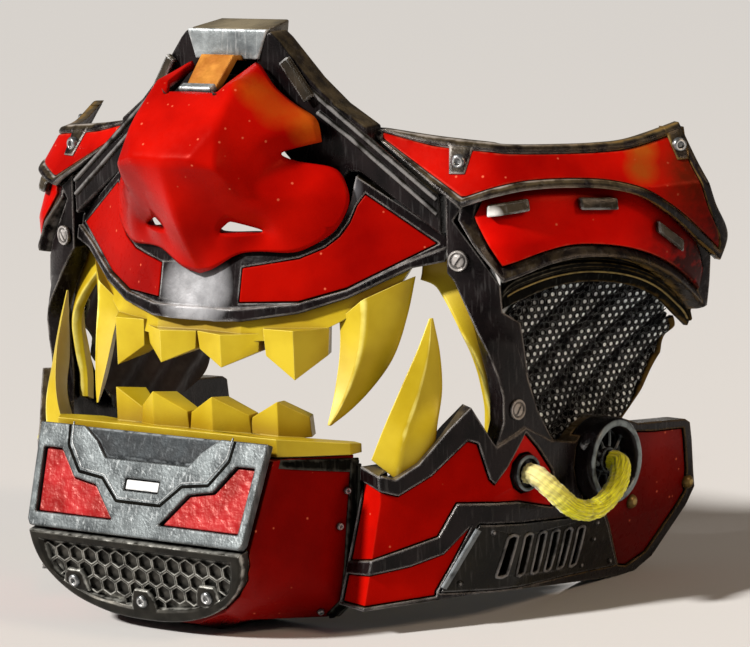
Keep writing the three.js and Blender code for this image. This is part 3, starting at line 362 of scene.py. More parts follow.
@dataclass
class Shape:
    """A mesh in the making: points in mm, quads and triangles, wear of the points and which quads face inside."""

    points: Array
    quads: Array
    tris: Array = field(default_factory=lambda: np.zeros((0, 3), int))
    wear: Array | None = None
    inside: Array | None = None

    def worn(self) -> Array:
        """Wear of each point, 0 where none was set."""
        return np.zeros(len(self.points)) if self.wear is None else self.wear

    def hidden(self) -> Array:
        """Mark of each quad that faces the wearer, False where none was set."""
        return np.zeros(len(self.quads), bool) if self.inside is None else self.inside

    def mirrored(self) -> "Shape":
        """The same shape on the other side of the face."""
        flip = np.array([-1.0, 1.0, 1.0])
        return Shape(self.points * flip, self.quads[:, ::-1], self.tris[:, ::-1], self.wear, self.inside)

    def outward(self) -> "Shape":
        """The shape with its faces turned out, by the sign of its volume.

        Returns:
            This shape, or one with its faces turned over.
        """
        halves = np.vstack([self.quads[:, [0, 1, 2]], self.quads[:, [0, 2, 3]], self.tris])
        a, b, c = (self.points[halves[:, k]] for k in range(3))
        if np.einsum("ij,ij->i", a, np.cross(b, c)).sum() >= 0.0:
            return self
        return Shape(self.points, self.quads[:, ::-1], self.tris[:, ::-1], self.wear, self.inside)


def joined(shapes: Sequence[Shape]) -> Shape:
    """Puts several shapes into one.

    Args:
        shapes: the shapes, in order.

    Returns:
        One shape whose faces keep their own points.
    """
    starts = np.cumsum([0, *[len(s.points) for s in shapes[:-1]]])
    return Shape(
        np.vstack([s.points for s in shapes]), np.vstack([s.quads + n for s, n in zip(shapes, starts)]),
        np.vstack([s.tris + n for s, n in zip(shapes, starts)]), np.concatenate([s.worn() for s in shapes]),
        np.concatenate([s.hidden() for s in shapes]),
    )


def grid_quads(rows: int, cols: int, close_rows: bool = False, close_cols: bool = False) -> Array:
    """Quads of a grid of points stored row by row.

    Args:
        rows: number of rows.
        cols: number of columns.
        close_rows: whether the last row joins the first.
        close_cols: whether the last column joins the first.

    Returns:
        Point numbers of shape (n, 4).
    """
    r = np.arange(rows if close_rows else rows - 1)[:, None]
    c = np.arange(cols if close_cols else cols - 1)[None, :]
    r1, c1 = (r + 1) % rows, (c + 1) % cols
    quads = [r * cols + c, r1 * cols + c, r1 * cols + c1, r * cols + c1]
    return np.stack(np.broadcast_arrays(*quads), -1).reshape(-1, 4)


def chord_knots(points: Array) -> Array:
    """Share of the chord length at each point of a run, from 0 to 1."""
    along = np.concatenate([[0.0], np.cumsum(np.linalg.norm(np.diff(points, axis=0), axis=1))])
    return along / along[-1]


def run_length(points: Points) -> float:
    """Chord length of a run of points."""
    return float(np.linalg.norm(np.diff(np.asarray(points, float), axis=0), axis=1).sum())


def run_through(points: Points, share: Array, sharp: Sequence[int] = (), knots: Array | None = None) -> Array:
    """Points of a smooth curve through a run of points.

    Each stretch is a cubic whose end slopes are the mean of the neighbouring chords, weighted by their lengths; at a
    sharp corner each stretch keeps the slope of its own chord.

    Args:
        points: the run, at least two points.
        share: places along the run, from 0 to 1.
        sharp: numbers of the points that are corners, or (-1,) for all of them.
        knots: shares of the points, by chord length if none are given.

    Returns:
        Points of shape (len(share), dimensions).
    """
    p = np.asarray(points, float)
    k = chord_knots(p) if knots is None else knots
    step = np.maximum(np.diff(k), 1e-9)[:, None]
    slope = np.diff(p, axis=0) / step
    arrive, leave = np.vstack([slope[:1], slope]), np.vstack([slope, slope[-1:]])
    before, after = np.vstack([step[:1], step]), np.vstack([step, step[-1:]])
    soft = (arrive * after + leave * before) / (before + after)
    corner = np.zeros((len(p), 1), bool)
    corner[list(range(len(p))) if tuple(sharp) == (-1,) else list(sharp)] = True
    arrive, leave = np.where(corner, arrive, soft), np.where(corner, leave, soft)
    i = np.clip(np.searchsorted(k, share, "right") - 1, 0, len(p) - 2)
    h = step[i]
    t = ((share - k[i]) / h[:, 0])[:, None]
    start = (2 * t**3 - 3 * t**2 + 1) * p[i] + (t**3 - 2 * t**2 + t) * h * leave[i]
    return start + (3 * t**2 - 2 * t**3) * p[i + 1] + (t**3 - t**2) * h * arrive[i + 1]


def shares(length: float, step: float, edge: float) -> Array:
    """Shares of a line from 0 to 1, with extra places close to both ends for a rounded edge.

    Args:
        length: length of the line, in mm.
        step: wanted spacing in the middle, in mm.
        edge: radius of the rounded edge, in mm.

    Returns:
        Rising shares from 0 to 1.
    """
    near = np.array([0.0, 0.12, 0.35, 0.65, 1.0]) * edge / max(length, 4.0 * edge)
    middle = np.linspace(near[-1], 1.0 - near[-1], max(3, int(length / step)))
    return np.concatenate([near[:-1], middle, (1.0 - near[:-1])[::-1]])


def rounded(distance: Array, edge: float) -> Array:
    """Drop of a quarter-round edge at a distance from the border."""
    t = np.clip(1.0 - distance / edge, 0.0, 1.0)
    return edge * (1.0 - np.sqrt(np.maximum(0.0, 1.0 - t * t)))


def walled(wall: Wall, uv: Array, height: Array, back: float, wear: Array, closed: bool) -> Shape:
    """A closed plate from a grid of places: its face at a height, its back at one depth and walls between the borders.

    Args:
        wall: what the plate lies on.
        uv: places of shape (rows, columns, 2).
        height: distance out of the face at each place.
        back: distance out of the back.
        wear: wear of the face at each place.
        closed: whether the last row joins the first.

    Returns:
        The plate, with the quads of its back marked as inside.
    """
    rows, cols = uv.shape[:2]
    count = rows * cols
    face = wall.point(uv[..., 0], uv[..., 1], height).reshape(-1, 3)
    rear = wall.point(uv[..., 0], uv[..., 1], np.full(uv.shape[:2], back)).reshape(-1, 3)
    top = grid_quads(rows, cols, close_rows=closed)
    number = np.arange(count).reshape(rows, cols)
    if closed:
        borders = [np.append(number[:, 0], number[0, 0]), np.append(number[:, -1], number[0, -1])[::-1]]
    else:
        borders = [np.concatenate([number[:, 0], number[-1, 1:], number[-2::-1, -1], number[0, -2::-1]])]
    sides = [np.stack([b[:-1], b[1:], b[1:] + count, b[:-1] + count], -1)[:, ::-1] for b in borders]
    quads = np.vstack([top, top[:, ::-1] + count, *sides])
    inside = np.zeros(len(quads), bool)
    inside[len(top) : 2 * len(top)] = True
    wear_all = np.concatenate([wear.ravel(), np.zeros(count)])
    return Shape(np.vstack([face, rear]), quads, wear=wear_all, inside=inside).outward()


@dataclass(frozen=True)
class Patch:
    """Four edges of a panel on a wall: low and high run from front to rear, front and rear run from low to high."""

    low: Points
    high: Points
    front: Points
    rear: Points
    low_sharp: tuple[int, ...] = ()
    high_sharp: tuple[int, ...] = ()
    front_sharp: tuple[int, ...] = ()

    @classmethod
    def between(cls, low: Points, high: Points) -> "Patch":
        """The patch between two edges whose ends run straight from one to the other."""
        return cls(low, high, (low[0], high[0]), (low[-1], high[-1]))

    @classmethod
    def across(cls, front: Points, rear: Points) -> "Patch":
        """The patch between a front and a rear edge whose ends run straight from one to the other."""
        return cls((front[0], rear[0]), (front[-1], rear[-1]), front, rear)

    @classmethod
    def centred(cls, side: Points, x: float = 0.0, v: float = 0.0) -> "Patch":
        """The patch between a side edge and its mirror image, both set off from the place (x, v)."""
        return cls.across(*([(x + sign * a, v + b) for a, b in side] for sign in (-1.0, 1.0)))

    def grid(self, u: Array, v: Array) -> Array:
        """Coons patch: the two ruled sheets between opposite edges, added, less the sheet through the corners.

        Args:
            u: shares along the panel or frame.
            v: shares across it.

        Returns:
            Places of shape (len(u), len(v), 2).
        """
        low = run_through(self.low, u, self.low_sharp)[:, None]
        high = run_through(self.high, u, self.high_sharp)[:, None]
        front, rear = run_through(self.front, v, self.front_sharp)[None], run_through(self.rear, v)[None]
        a, b = u[:, None, None], v[None, :, None]
        corners = (1 - a) * ((1 - b) * low[0] + b * high[0]) + a * ((1 - b) * low[-1] + b * high[-1])
        return (1 - b) * low + b * high + (1 - a) * front + a * rear - corners


def plate(
    wall: Wall, patch: Patch, back: float, face: float, edge: float = 0.5, step: float = 1.3, relief: Points = ()
) -> Shape:
    """A panel over a patch, with a quarter-round edge: face height less the drop at the distance from the border.

    Args:
        wall: what the panel lies on.
        patch: its four edges.
        back: distance of its back out of the wall, in mm.
        face: distance of its face, in mm.
        edge: radius of its edge, in mm.
        step: spacing of the grid, in mm.
        relief: profile across the panel, as (share from low to high, height) pairs.

    Returns:
        The closed panel.
    """
    length = (run_length(patch.low) + run_length(patch.high)) / 2.0
    spots = np.linspace(0.0, 1.0, 9)
    middle = run_through(patch.high, spots, patch.high_sharp) - run_through(patch.low, spots, patch.low_sharp)
    width = max(np.linalg.norm(middle, axis=1).max(), run_length(patch.front), run_length(patch.rear))
    profile = np.array(relief if len(relief) else [(0.0, 0.0), (1.0, 0.0)], float)
    u, v = shares(length, step, edge), np.unique(np.concatenate([shares(width, step, edge), profile[:, 0]]))
    uv = patch.grid(u, v)
    across = np.linalg.norm(uv[:, -1] - uv[:, 0], axis=-1)[:, None]
    ends = np.minimum(u, 1.0 - u)[:, None] * length
    distance = np.minimum(np.minimum(v, 1.0 - v)[None, :] * across, ends)
    height = np.interp(v, profile[:, 0], profile[:, 1])
    ridge = np.isin(v, profile[1:-1, 0]) & (height > 0.0)
    wear = np.maximum(np.exp(-distance / PLATE_WEAR_MM), STEP_WEAR * ridge[None, :])
    return walled(wall, uv, face + height[None, :] - rounded(distance, edge), back, wear, closed=False)


@dataclass(frozen=True)
class Loop:
    """A closed frame on a wall: outer and inner corner points in step, with the numbers of the sharp ones."""

    outer: Points
    inner: Points
    sharp: tuple[int, ...] = ()

    def grid(self, u: Array, v: Array) -> Array:
        """Ruled sheet between the outer and the inner curve, both read at the outer one's shares.

        Args:
            u: shares along the panel or frame.
            v: shares across it.

        Returns:
            Places of shape (len(u), len(v), 2).
        """
        outer = np.vstack([self.outer, self.outer[:1]])
        inner = np.vstack([self.inner, self.inner[:1]])
        knots = chord_knots(outer)
        sharp = (*self.sharp, 0, len(outer) - 1)
        a = run_through(outer, u, sharp, knots)[:, None]
        b = run_through(inner, u, sharp, knots)[:, None]
        return a + (b - a) * v[None, :, None]


def framed(
    wall: Wall, loop: Loop, back: float, face: float, edge: float = 0.5, relief: Points = (), step: float = 1.1,
) -> Shape:
    """A frame along a loop: face height with a profile across it, less the drop of its two rounded edges.

    Args:
        wall: what the frame lies on.
        loop: its outer and inner curves.
        back: distance of its back out of the wall, in mm.
        face: distance of its face, in mm.
        edge: radius of its edges, in mm.
        relief: profile across the frame, as (share from outer to inner, height) pairs.
        step: spacing of the grid along the loop, in mm.

    Returns:
        The closed frame.
    """
    outer = np.vstack([loop.outer, loop.outer[:1]])
    knots = chord_knots(outer)
    even = np.linspace(0.0, 1.0, int(run_length(outer) / step))
    u = np.unique(np.round(np.concatenate([even, knots]), 6))[:-1]
    v = np.linspace(0.0, 1.0, 19)
    uv = loop.grid(u, v)
    across = np.linalg.norm(uv[:, -1] - uv[:, 0], axis=-1)[:, None]
    distance = np.minimum(v, 1.0 - v)[None, :] * across
    profile = np.array(relief if len(relief) else [(0.0, 0.0), (1.0, 0.0)], float)
    height = np.interp(v, profile[:, 0], profile[:, 1])[None, :]
    bend = np.abs(np.gradient(np.gradient(height[0])))[None, :]
    wear = np.maximum(np.exp(-distance / FRAME_WEAR_MM), np.clip(bend * BEND_WEAR, 0.0, 1.0))
    return walled(wall, uv, face + height - rounded(distance, edge), back, wear, closed=True)


def inset(points: Points, distance: float) -> Array:
    """Closed outline drawn in by a distance: each corner moves along the mean of its edges' inward normals.

    Args:
        points: the corners, in order.
        distance: how far each edge moves inward, in mm.

    Returns:
        The new corners.
    """
    p = np.asarray(points, float)
    ahead = unit(np.roll(p, -1, 0) - p)
    area = np.sum(p[:, 0] * np.roll(p[:, 1], -1) - np.roll(p[:, 0], -1) * p[:, 1])
    normal = np.stack([-ahead[:, 1], ahead[:, 0]], -1) * np.sign(area)
    arriving = np.roll(normal, 1, 0)
    reach = distance / np.maximum(0.5, 1.0 + np.einsum("ij,ij->i", arriving, normal))
    return p + (arriving + normal) * reach[:, None]


def swept(
    wall: Wall, path: Points, profile: Points, base: float, sharp: Sequence[int] = (), step: float = 0.8
) -> Shape:
    """A closed profile carried along a path on a wall.

    Args:
        wall: what the path lies on.
        path: (u, v) points of the path.
        profile: (across, out) points of the closed profile, in mm.
        base: distance of the profile's origin out of the wall, in mm.
        sharp: numbers of the path points that are corners.
        step: spacing along the path, in mm.

    Returns:
        The closed rail.
    """
    share = np.linspace(0.0, 1.0, max(4, int(run_length(path) / step)))
    line = run_through(path, share, sharp)
    along = unit(np.gradient(line, axis=0))
    across = np.stack([-along[:, 1], along[:, 0]], -1)
    shape = np.asarray(profile, float)
    uv = line[:, None] + across[:, None] * shape[None, :, :1]
    points = wall.point(uv[..., 0], uv[..., 1], base + shape[None, :, 1] + np.zeros(uv.shape[:2]))
    return capped(points, np.tile((shape[:, 1] > 0).astype(float), len(line)))


def capped(rings: Array, wear: Array | None = None) -> Shape:
    """A tube through rings of points, closed at both ends by fans.

    Args:
        rings: points of shape (rings, around, 3).
        wear: wear of the points in order, or None.

    Returns:
        The closed tube.
    """
    count, around = rings.shape[:2]
    quads = grid_quads(count, around, close_cols=True)
    ends = np.stack([rings[0].mean(0), rings[-1].mean(0)])
    k = np.arange(around)
    first = np.stack([k, (k + 1) % around, np.full(around, count * around)], -1)
    last = np.stack([(k + 1) % around, k, np.full(around, 1)], -1) + (count - 1) * around
    last[:, 2] = count * around + 1
    points = np.vstack([rings.reshape(-1, 3), ends])
    worn = None if wear is None else np.concatenate([wear, [0.0, 0.0]])
    return Shape(points, quads, np.vstack([first, last]), wear=worn).outward()


@dataclass(frozen=True)
class Seat:
    """A place on a wall: its origin, and unit axes back, up and out."""

    origin: Array
    axes: Array

    @classmethod
    def on(cls, wall: Wall, u: float, v: float, d: float = 0.0) -> "Seat":
        """The seat at (u, v), d out of the wall, its axes found from small steps along the wall.

        Args:
            wall: what it lies on.
            u: first place on the wall, in mm.
            v: second place, in mm.
            d: distance out of the wall, in mm.

        Returns:
            The seat.
        """
        origin, away, aside = (
            wall.point(np.array(a), np.array(b), np.array(c))
            for a, b, c in ((u, v, d), (u, v, d + NUDGE_MM), (u + NUDGE_MM, v, d))
        )
        out = unit(away - origin)
        back = unit((aside - origin) - out * ((aside - origin) @ out))
        return cls(origin, np.stack([back, np.cross(out, back), out]))

    def placed(self, points: Array) -> Array:
        """Local points carried to the seat."""
        return self.origin + points @ self.axes


def turned(profile: Points, sides: int, seat: Seat, wear_above: float = 1e9) -> Shape:
    """A profile of (radius, height) turned about the seat's outward axis and closed at both ends.

    Args:
        profile: the profile from one end to the other.
        sides: points round the axis.
        seat: where it stands.
        wear_above: height above which the surface is worn.

    Returns:
        The closed turned shape.
    """
    p = np.asarray(profile, float)
    angle = 2.0 * np.pi * np.arange(sides) / sides
    circle = np.stack([np.cos(angle), np.sin(angle)], -1)
    radius = np.maximum(p[:, 0], 1e-3)[:, None, None]
    height = np.broadcast_to(p[:, 1][:, None, None], (len(p), sides, 1))
    rings = np.concatenate([circle[None] * radius, height], -1)
    wear = np.repeat((p[:, 1] >= wear_above).astype(float), sides)
    return capped(seat.placed(rings), wear)


# ---- finishes ----


def linear(hex_colour: str) -> Colour:
    """Turns an sRGB hex colour to linear light.

    Args:
        hex_colour: six hex digits after a hash.

    Returns:
        Red, green, blue and alpha.
    """
    srgb = np.array([int(hex_colour[i : i + 2], 16) for i in (1, 3, 5)]) / 255.0
    light = np.where(srgb <= 0.04045, srgb / 12.92, ((srgb + 0.055) / 1.055) ** 2.4)
    return (*map(float, light), 1.0)


def per_mm(size: float) -> float:
    """Texture scale, in cycles a metre, of a pattern whose real size is given in mm."""
    return 1.0 / (size * MM)


def add_node(tree: Tree, kind: str, inputs: dict | None = None, **settings: object) -> bpy.types.Node:
    """Adds a node with its settings and links.

    Args:
        tree: the material's node tree.
        kind: Blender's name of the node type.
        inputs: value or output socket for each input, by name or number.
        settings: properties of the node.

    Returns:
        The node.
    """
    made = tree.nodes.new(kind)
    for key, value in settings.items():
        setattr(made, key, value)
    for key, value in (inputs or {}).items():
        if isinstance(value, Socket):
            tree.links.new(value, made.inputs[key])
        else:
            made.inputs[key].default_value = value
    return made


# Numbers of the Mix node's colour sockets.
MIX_A, MIX_B, MIX_OUT = 6, 7, 2


@dataclass(frozen=True)
class Coat:
    """One coat of paint over another.

    Attributes:
        colour: its colour.
        mask: the value that says how much of it there is.
        span: values of the mask where the coat begins and where there is most of it.
        most: share of the coat there.
    """

    colour: Socket | Colour
    mask: Socket
    span: Pair
    most: float | Socket = 1.0

    def over(self, tree: Tree, under: Socket | Colour) -> Socket:
        """Lays the coat over a colour.

        Args:
            tree: the material's node tree.
            under: the colour below.

        Returns:
            The colour of both.
        """
        inputs = {"Value": self.mask, "From Min": self.span[0], "From Max": self.span[1], "To Max": self.most}
        share = add_node(tree, "ShaderNodeMapRange", inputs).outputs["Result"]
        mix = add_node(tree, "ShaderNodeMix", {0: share, MIX_A: under, MIX_B: self.colour}, data_type="RGBA")
        return mix.outputs[MIX_OUT]


@dataclass(frozen=True)
class Paint:
    """Brushed-on paint over a resin casting: mottled body colour, painted shade in the recesses and pale dry-brushed
    wear.

    Attributes:
        name: what the finish is.
        body: the two colours that the body wanders between.
        recess_shade: colour of the painted shade that darkens recesses.
        worn: colour that shows where edges are dry-brushed or rubbed.
        patch_mm: size of the body's mottling.
        recess_shade_mm: reach of the painted shade out of a recess.
        recess_shade_depth: share of the painted shade at the bottom of a recess.
        wear: share of the worn colour along a worn edge.
        edge_mm: reach of the wear from an edge.
        rub_mm: size of the breaks in the wear.
        fleck: share of the surface under small pale flecks.
        streak: share of the surface under long brush marks.
        dust: warm colour that settles on upward faces, if any.
        metallic: metal share of the paint.
        roughness: lowest and highest roughness.
        glint: tint of the highlights.
        specular: strength of the highlights.
        ior: index of refraction; near 1 the paint is dead matt.
        aged: colour that the wear turns to toward the back of the mask, if any.
        rubs_and_painted_light: coloured spots of rubbed wear, dust, painted reflection, painted highlight and painted
            shade, each a point in mm of the face frame, a radius in mm and a colour.
        grain_mm: size of the fine bumps.
        bump: strength of the fine bumps.
    """

    name: str
    body: tuple[str, str]
    recess_shade: str
    worn: str
    patch_mm: float = 18.0
    recess_shade_mm: float = 3.0
    recess_shade_depth: float = 0.85
    wear: float = 0.8
    edge_mm: float = 0.45
    rub_mm: float = 2.2
    fleck: float = 0.0
    streak: float = 0.0
    dust: str = ""
    metallic: float = 0.0
    roughness: Pair = (0.3, 0.5)
    glint: str = "#ffffff"
    specular: float = 0.4
    ior: float = 1.45
    aged: str = ""
    rubs_and_painted_light: tuple[tuple[Triple, float, str], ...] = ()
    grain_mm: float = 0.7
    bump: float = 0.1

    def material(self) -> bpy.types.Material:
        """Makes the material once and gives it again after that.

        Returns:
            The node material, on Object coordinates.
        """
        known = bpy.data.materials.get(self.name)
        if known is not None:
            return known
        made = bpy.data.materials.new(self.name)
        made.use_nodes = True
        tree = made.node_tree
        shader = tree.nodes["Principled BSDF"]
        place = add_node(tree, "ShaderNodeTexCoord").outputs["Object"]
        breaks = {"Vector": place, "Scale": per_mm(self.rub_mm), "Detail": 4.0}
        rub = add_node(tree, "ShaderNodeTexNoise", breaks).outputs["Fac"]
        eased = add_node(tree, "ShaderNodeBevel", {"Radius": self.edge_mm * MM}, samples=4).outputs["Normal"]
        colour = linear(self.body[0])
        for coat in self.coats(tree, place, rub, eased):
            colour = coat.over(tree, colour)
        tree.links.new(colour, shader.inputs["Base Color"])
        low, high = self.roughness
        ends = {"From Min": 0.3, "From Max": 0.7, "To Min": low, "To Max": high}
        sheen = add_node(tree, "ShaderNodeMapRange", {"Value": rub, **ends})
        tree.links.new(sheen.outputs["Result"], shader.inputs["Roughness"])
        grain = add_node(tree, "ShaderNodeTexNoise", {"Vector": place, "Scale": per_mm(self.grain_mm), "Detail": 3.0})
        height = {"Height": grain.outputs["Fac"], "Distance": 0.25 * self.grain_mm * MM}
        bump = add_node(tree, "ShaderNodeBump", {**height, "Strength": self.bump, "Normal": eased})
        tree.links.new(bump.outputs["Normal"], shader.inputs["Normal"])
        even = {
            "Metallic": self.metallic, "Specular Tint": linear(self.glint), "Specular IOR Level": self.specular,
            "IOR": self.ior,
        }
        for socket, value in even.items():
            shader.inputs[socket].default_value = value
        return made

    def coats(self, tree: Tree, place: Socket, rub: Socket, eased: Socket) -> Iterator[Coat]:
        """The coats on the first body colour, from the lowest to the topmost.

        Args:
            tree: the material's node tree.
            place: Object coordinates.
            rub: noise that breaks up the wear.
            eased: normal rounded over the edges.

        Yields:
            Each coat.
        """
        # Body: soft patches of the second body colour.
        spread = {"Vector": place, "Scale": per_mm(self.patch_mm), "Detail": 5.0}
        patches = add_node(tree, "ShaderNodeTexNoise", spread).outputs["Fac"]
        yield Coat(linear(self.body[1]), patches, span=(0.36, 0.64))
        facing = add_node(tree, "ShaderNodeNewGeometry").outputs["Normal"]
        # Warm dust: the more a face looks up, the more of it.
        if self.dust:
            upward = add_node(tree, "ShaderNodeSeparateXYZ", {"Vector": facing}).outputs["Z"]
            ragged = add_node(tree, "ShaderNodeMath", {0: upward, 1: rub}, operation="MULTIPLY").outputs["Value"]
            yield Coat(linear(self.dust), ragged, span=(0.2, 0.5), most=0.7)
        # Long thin brush marks: noise drawn out along a slanting direction.
        if self.streak > 0.0:
            slant = {"Vector": place, "Rotation": (0.5, 0.3, 0.9), "Scale": (1.0, 1.0, 0.12)}
            drawn = add_node(tree, "ShaderNodeMapping", slant).outputs["Vector"]
            lines = add_node(tree, "ShaderNodeTexNoise", {"Vector": drawn, "Scale": per_mm(0.9), "Detail": 2.0})
            yield Coat(linear(self.worn), lines.outputs["Fac"], span=(0.56, 0.74), most=self.streak)
        # Small pale flecks: the middles of cells, on the cells that a random value picks.
        if self.fleck > 0.0:
            cells = add_node(tree, "ShaderNodeTexVoronoi", {"Vector": place, "Scale": per_mm(1.7)}).outputs
            lot = add_node(tree, "ShaderNodeSeparateColor", {"Color": cells["Color"]}).outputs["Red"]
            pick = add_node(tree, "ShaderNodeMath", {0: lot, 1: self.fleck}, operation="LESS_THAN").outputs["Value"]
            most = add_node(tree, "ShaderNodeMath", {0: pick, 1: 0.75}, operation="MULTIPLY").outputs["Value"]
            yield Coat(linear(self.worn), cells["Distance"], span=(0.24, 0.12), most=most)
        # Coloured spots of rubbed wear, dust, painted reflection, painted highlight and painted shade: each fades out
        # over its radius from its point, broken up by the rub noise.
        for point, radius, rubbed in self.rubs_and_painted_light:
            ends = {0: place, 1: tuple((np.asarray(point) + REST) * MM)}
            away = add_node(tree, "ShaderNodeVectorMath", ends, operation="DISTANCE").outputs["Value"]
            ragged = add_node(tree, "ShaderNodeMath", {0: rub, 1: 0.55}, operation="ADD").outputs["Value"]
            yield Coat(linear(rubbed), away, span=(radius * MM, 0.25 * radius * MM), most=ragged)
        # Worn edges: the wear attribute or the turn of the eased normal, broken up by the rub noise.
        marked = add_node(tree, "ShaderNodeAttribute", attribute_name="wear").outputs["Fac"]
        bend = add_node(tree, "ShaderNodeVectorMath", {0: eased, 1: facing}, operation="DOT_PRODUCT").outputs["Value"]
        turn = {"Value": bend, "From Min": 0.99, "From Max": 0.88}
        corner = add_node(tree, "ShaderNodeMapRange", turn).outputs["Result"]
        edge = add_node(tree, "ShaderNodeMath", {0: marked, 1: corner}, operation="MAXIMUM").outputs["Value"]
        broken = add_node(tree, "ShaderNodeMath", {0: edge, 1: rub}, operation="MULTIPLY").outputs["Value"]
        worn = linear(self.worn)
        # The wear turns to its aged colour from the front of the mask to its back.
        if self.aged:
            depth = add_node(tree, "ShaderNodeSeparateXYZ", {"Vector": place}).outputs["Y"]
            worn = Coat(linear(self.aged), depth, span=(-22.0 * MM, 22.0 * MM)).over(tree, worn)
        yield Coat(worn, broken, span=(0.26, 0.52), most=self.wear)
        # Painted shade: darker the less open the surface is within its reach.
        if self.recess_shade_depth > 0.0:
            sky = add_node(tree, "ShaderNodeAmbientOcclusion", {"Distance": self.recess_shade_mm * MM}, samples=6)
            yield Coat(linear(self.recess_shade), sky.outputs["AO"], span=(0.85, 0.35), most=self.recess_shade_depth)


# Sprayed red lacquer on resin: glossy, mottled, with pale dust flecks and painted shade, brown-black, at its borders.
RED = Paint(
    "red_lacquer_on_resin", ("#8f0502", "#b80d04"), "#120303", "#d9694a", patch_mm=26.0, recess_shade_mm=3.6, wear=0.2,
    fleck=0.06, roughness=(0.24, 0.36), glint="#ff4a20", specular=0.3, ior=1.26, bump=0.12,
)
# The lacquer on the nose, with orange-brown patches on its upper side near the bracket.
RED_NOSE = replace(
    RED,
    name="red_lacquer_on_nose",
    rubs_and_painted_light=(
        ((17.5, -68.0, 72.0), 7.5, "#ac3f0a"), ((21.5, -67.0, 67.0), 7.0, "#a2360a"),
        ((28.0, -61.0, 63.0), 8.0, "#a8480e"),
    ),
)
# The lacquer on the cheek plates, with orange-brown painted reflections on the upper flank and painted shade, near
# black, at the rear.
RED_CHEEK = replace(
    RED,
    name="red_lacquer_on_cheek",
    rubs_and_painted_light=(
        ((104.0, 0.0, 45.0), 15.0, "#5e1a0a"), ((95.3, -11.0, 53.0), 5.5, "#a04812"),
        ((96.4, -13.5, 47.6), 5.5, "#943e0f"), ((109.0, 12.0, 34.0), 26.0, "#330603"),
    ),
)
# The lacquer on the bands under the cheeks, lighter than the other red as painted light, with painted shadow under the
# cheek's overhang and painted shade, near black, at the rear.
RED_BAND = replace(
    RED, name="red_lacquer_on_band", body=("#a80603", "#d00e05"), recess_shade_mm=7.0,
    rubs_and_painted_light=(((98.0, 9.0, 17.0), 32.0, "#240201"),),
)
# The lacquer on the lips, a darker red, and on the rear jaw panels, darker still as painted shade toward the back of
# the mask.
RED_LIP = replace(RED, name="red_lacquer_on_lip", body=("#7c0402", "#a00a03"))
RED_REAR_SHADED = replace(RED, name="red_lacquer_rear_painted_shade", body=("#520301", "#740903"))
# The lacquer on the chin box, darkened all over as painted shade of its downward-facing side.
RED_SHADED_BOX = replace(RED, name="red_lacquer_painted_shade", body=("#600302", "#800603"), recess_shade_mm=4.0)
# The same lacquer on the chin inserts, over a rough cast face, with pale pink painted highlights along its edges and in
# streaks.
RED_ROUGH = Paint(
    "red_lacquer_rough_cast", ("#7c0708", "#a41e22"), "#160404", "#e09096", patch_mm=7.0, recess_shade_mm=1.6, wear=0.3,
    streak=0.04, roughness=(0.26, 0.36), glint="#ffb0a4", grain_mm=2.4, bump=0.5,
)
# Gunmetal paint: a purple-black metallic that shows silver where it was dry-brushed and bronze on upward faces.
GUNMETAL = Paint(
    "gunmetal_paint", ("#070506", "#191314"), "#020101", "#b4b2b2", patch_mm=9.0, recess_shade_mm=2.0, wear=0.95, edge_mm=0.9,
    rub_mm=4.0, streak=0.05, dust="#5c5038", metallic=0.15, roughness=(0.18, 0.36), ior=1.3, aged="#7a6030",
    bump=0.35,
)
# The gunmetal of the lips, rubbed to bare silver under the nose, that silver brightened into a painted reflection.
GUNMETAL_LIP = replace(
    GUNMETAL, name="gunmetal_rubbed_and_painted_reflection",
    rubs_and_painted_light=(((-1.0, -82.0, 22.0), 14.5, "#d4d6db"), ((36.0, -63.0, 46.0), 8.0, "#8d8f96")),
)
# The gunmetal of the bracket, dusty on top of its bridge.
GUNMETAL_BROW = replace(GUNMETAL, name="gunmetal_paint_dusty", rubs_and_painted_light=(((0.0, -52.0, 88.0), 15.0, "#857b64"),))
# Gloss black of the hubs and cord eyes, its rubbed rims blue-grey as a painted highlight.
GLOSS = replace(GUNMETAL, name="gloss_black_paint", dust="", aged="", worn="#7f8a8e", roughness=(0.14, 0.26))
# Blackened steel of the clips, bright along its edges, with white painted highlights on their lit left ends.
CLIP = replace(
    GUNMETAL, name="blackened_steel", body=("#1d1a15", "#3d362b"), worn="#dcdedf", edge_mm=1.0, aged="",
    rubs_and_painted_light=tuple((end, 3.2, "#f2f2f0") for end in ((75.3, -49.6, 39.2), (86.2, -33.6, 41.4), (96.9, -14.6, 35.2))),
)
# Black casting of the slot rims, only lightly rubbed.
CASTING = replace(GUNMETAL, name="black_casting", body=("#0b0a08", "#1a1812"), wear=0.4, dust="", aged="")
# Bronze paint on the lines of the vent's arch and on the domed rivets.
BRONZE = Paint("bronze_paint", ("#4a3a1a", "#7d6430"), "#0c0903", "#b09a5c", patch_mm=5.0, metallic=0.4)
# Pewter paint: mottled grey metal colour, rubbed bright on top, with painted shade in the grooves.
PEWTER = Paint(
    "pewter_paint", ("#62686b", "#a2a9ab"), "#0f1012", "#e3e6e7", patch_mm=9.0, recess_shade_mm=2.6, edge_mm=0.7, streak=0.3,
    metallic=0.5, roughness=(0.3, 0.5), bump=0.4,
)
# The pewter of the chin plate, dark under a strong dry brush.
PEWTER_DARK = replace(
    PEWTER, name="pewter_paint_dark", body=("#2e3335", "#585e60"), worn="#c2c7c9", patch_mm=6.0, streak=0.22,
)
# Slate-blue wash on the sunken field of the chin plate.
SLATE = Paint(
    "slate_washed_pewter", ("#0e1215", "#1d2428"), "#08090a", "#7a8084", patch_mm=8.0, recess_shade_mm=1.4, streak=0.16,
    metallic=0.5, roughness=(0.4, 0.6), bump=0.4,
)
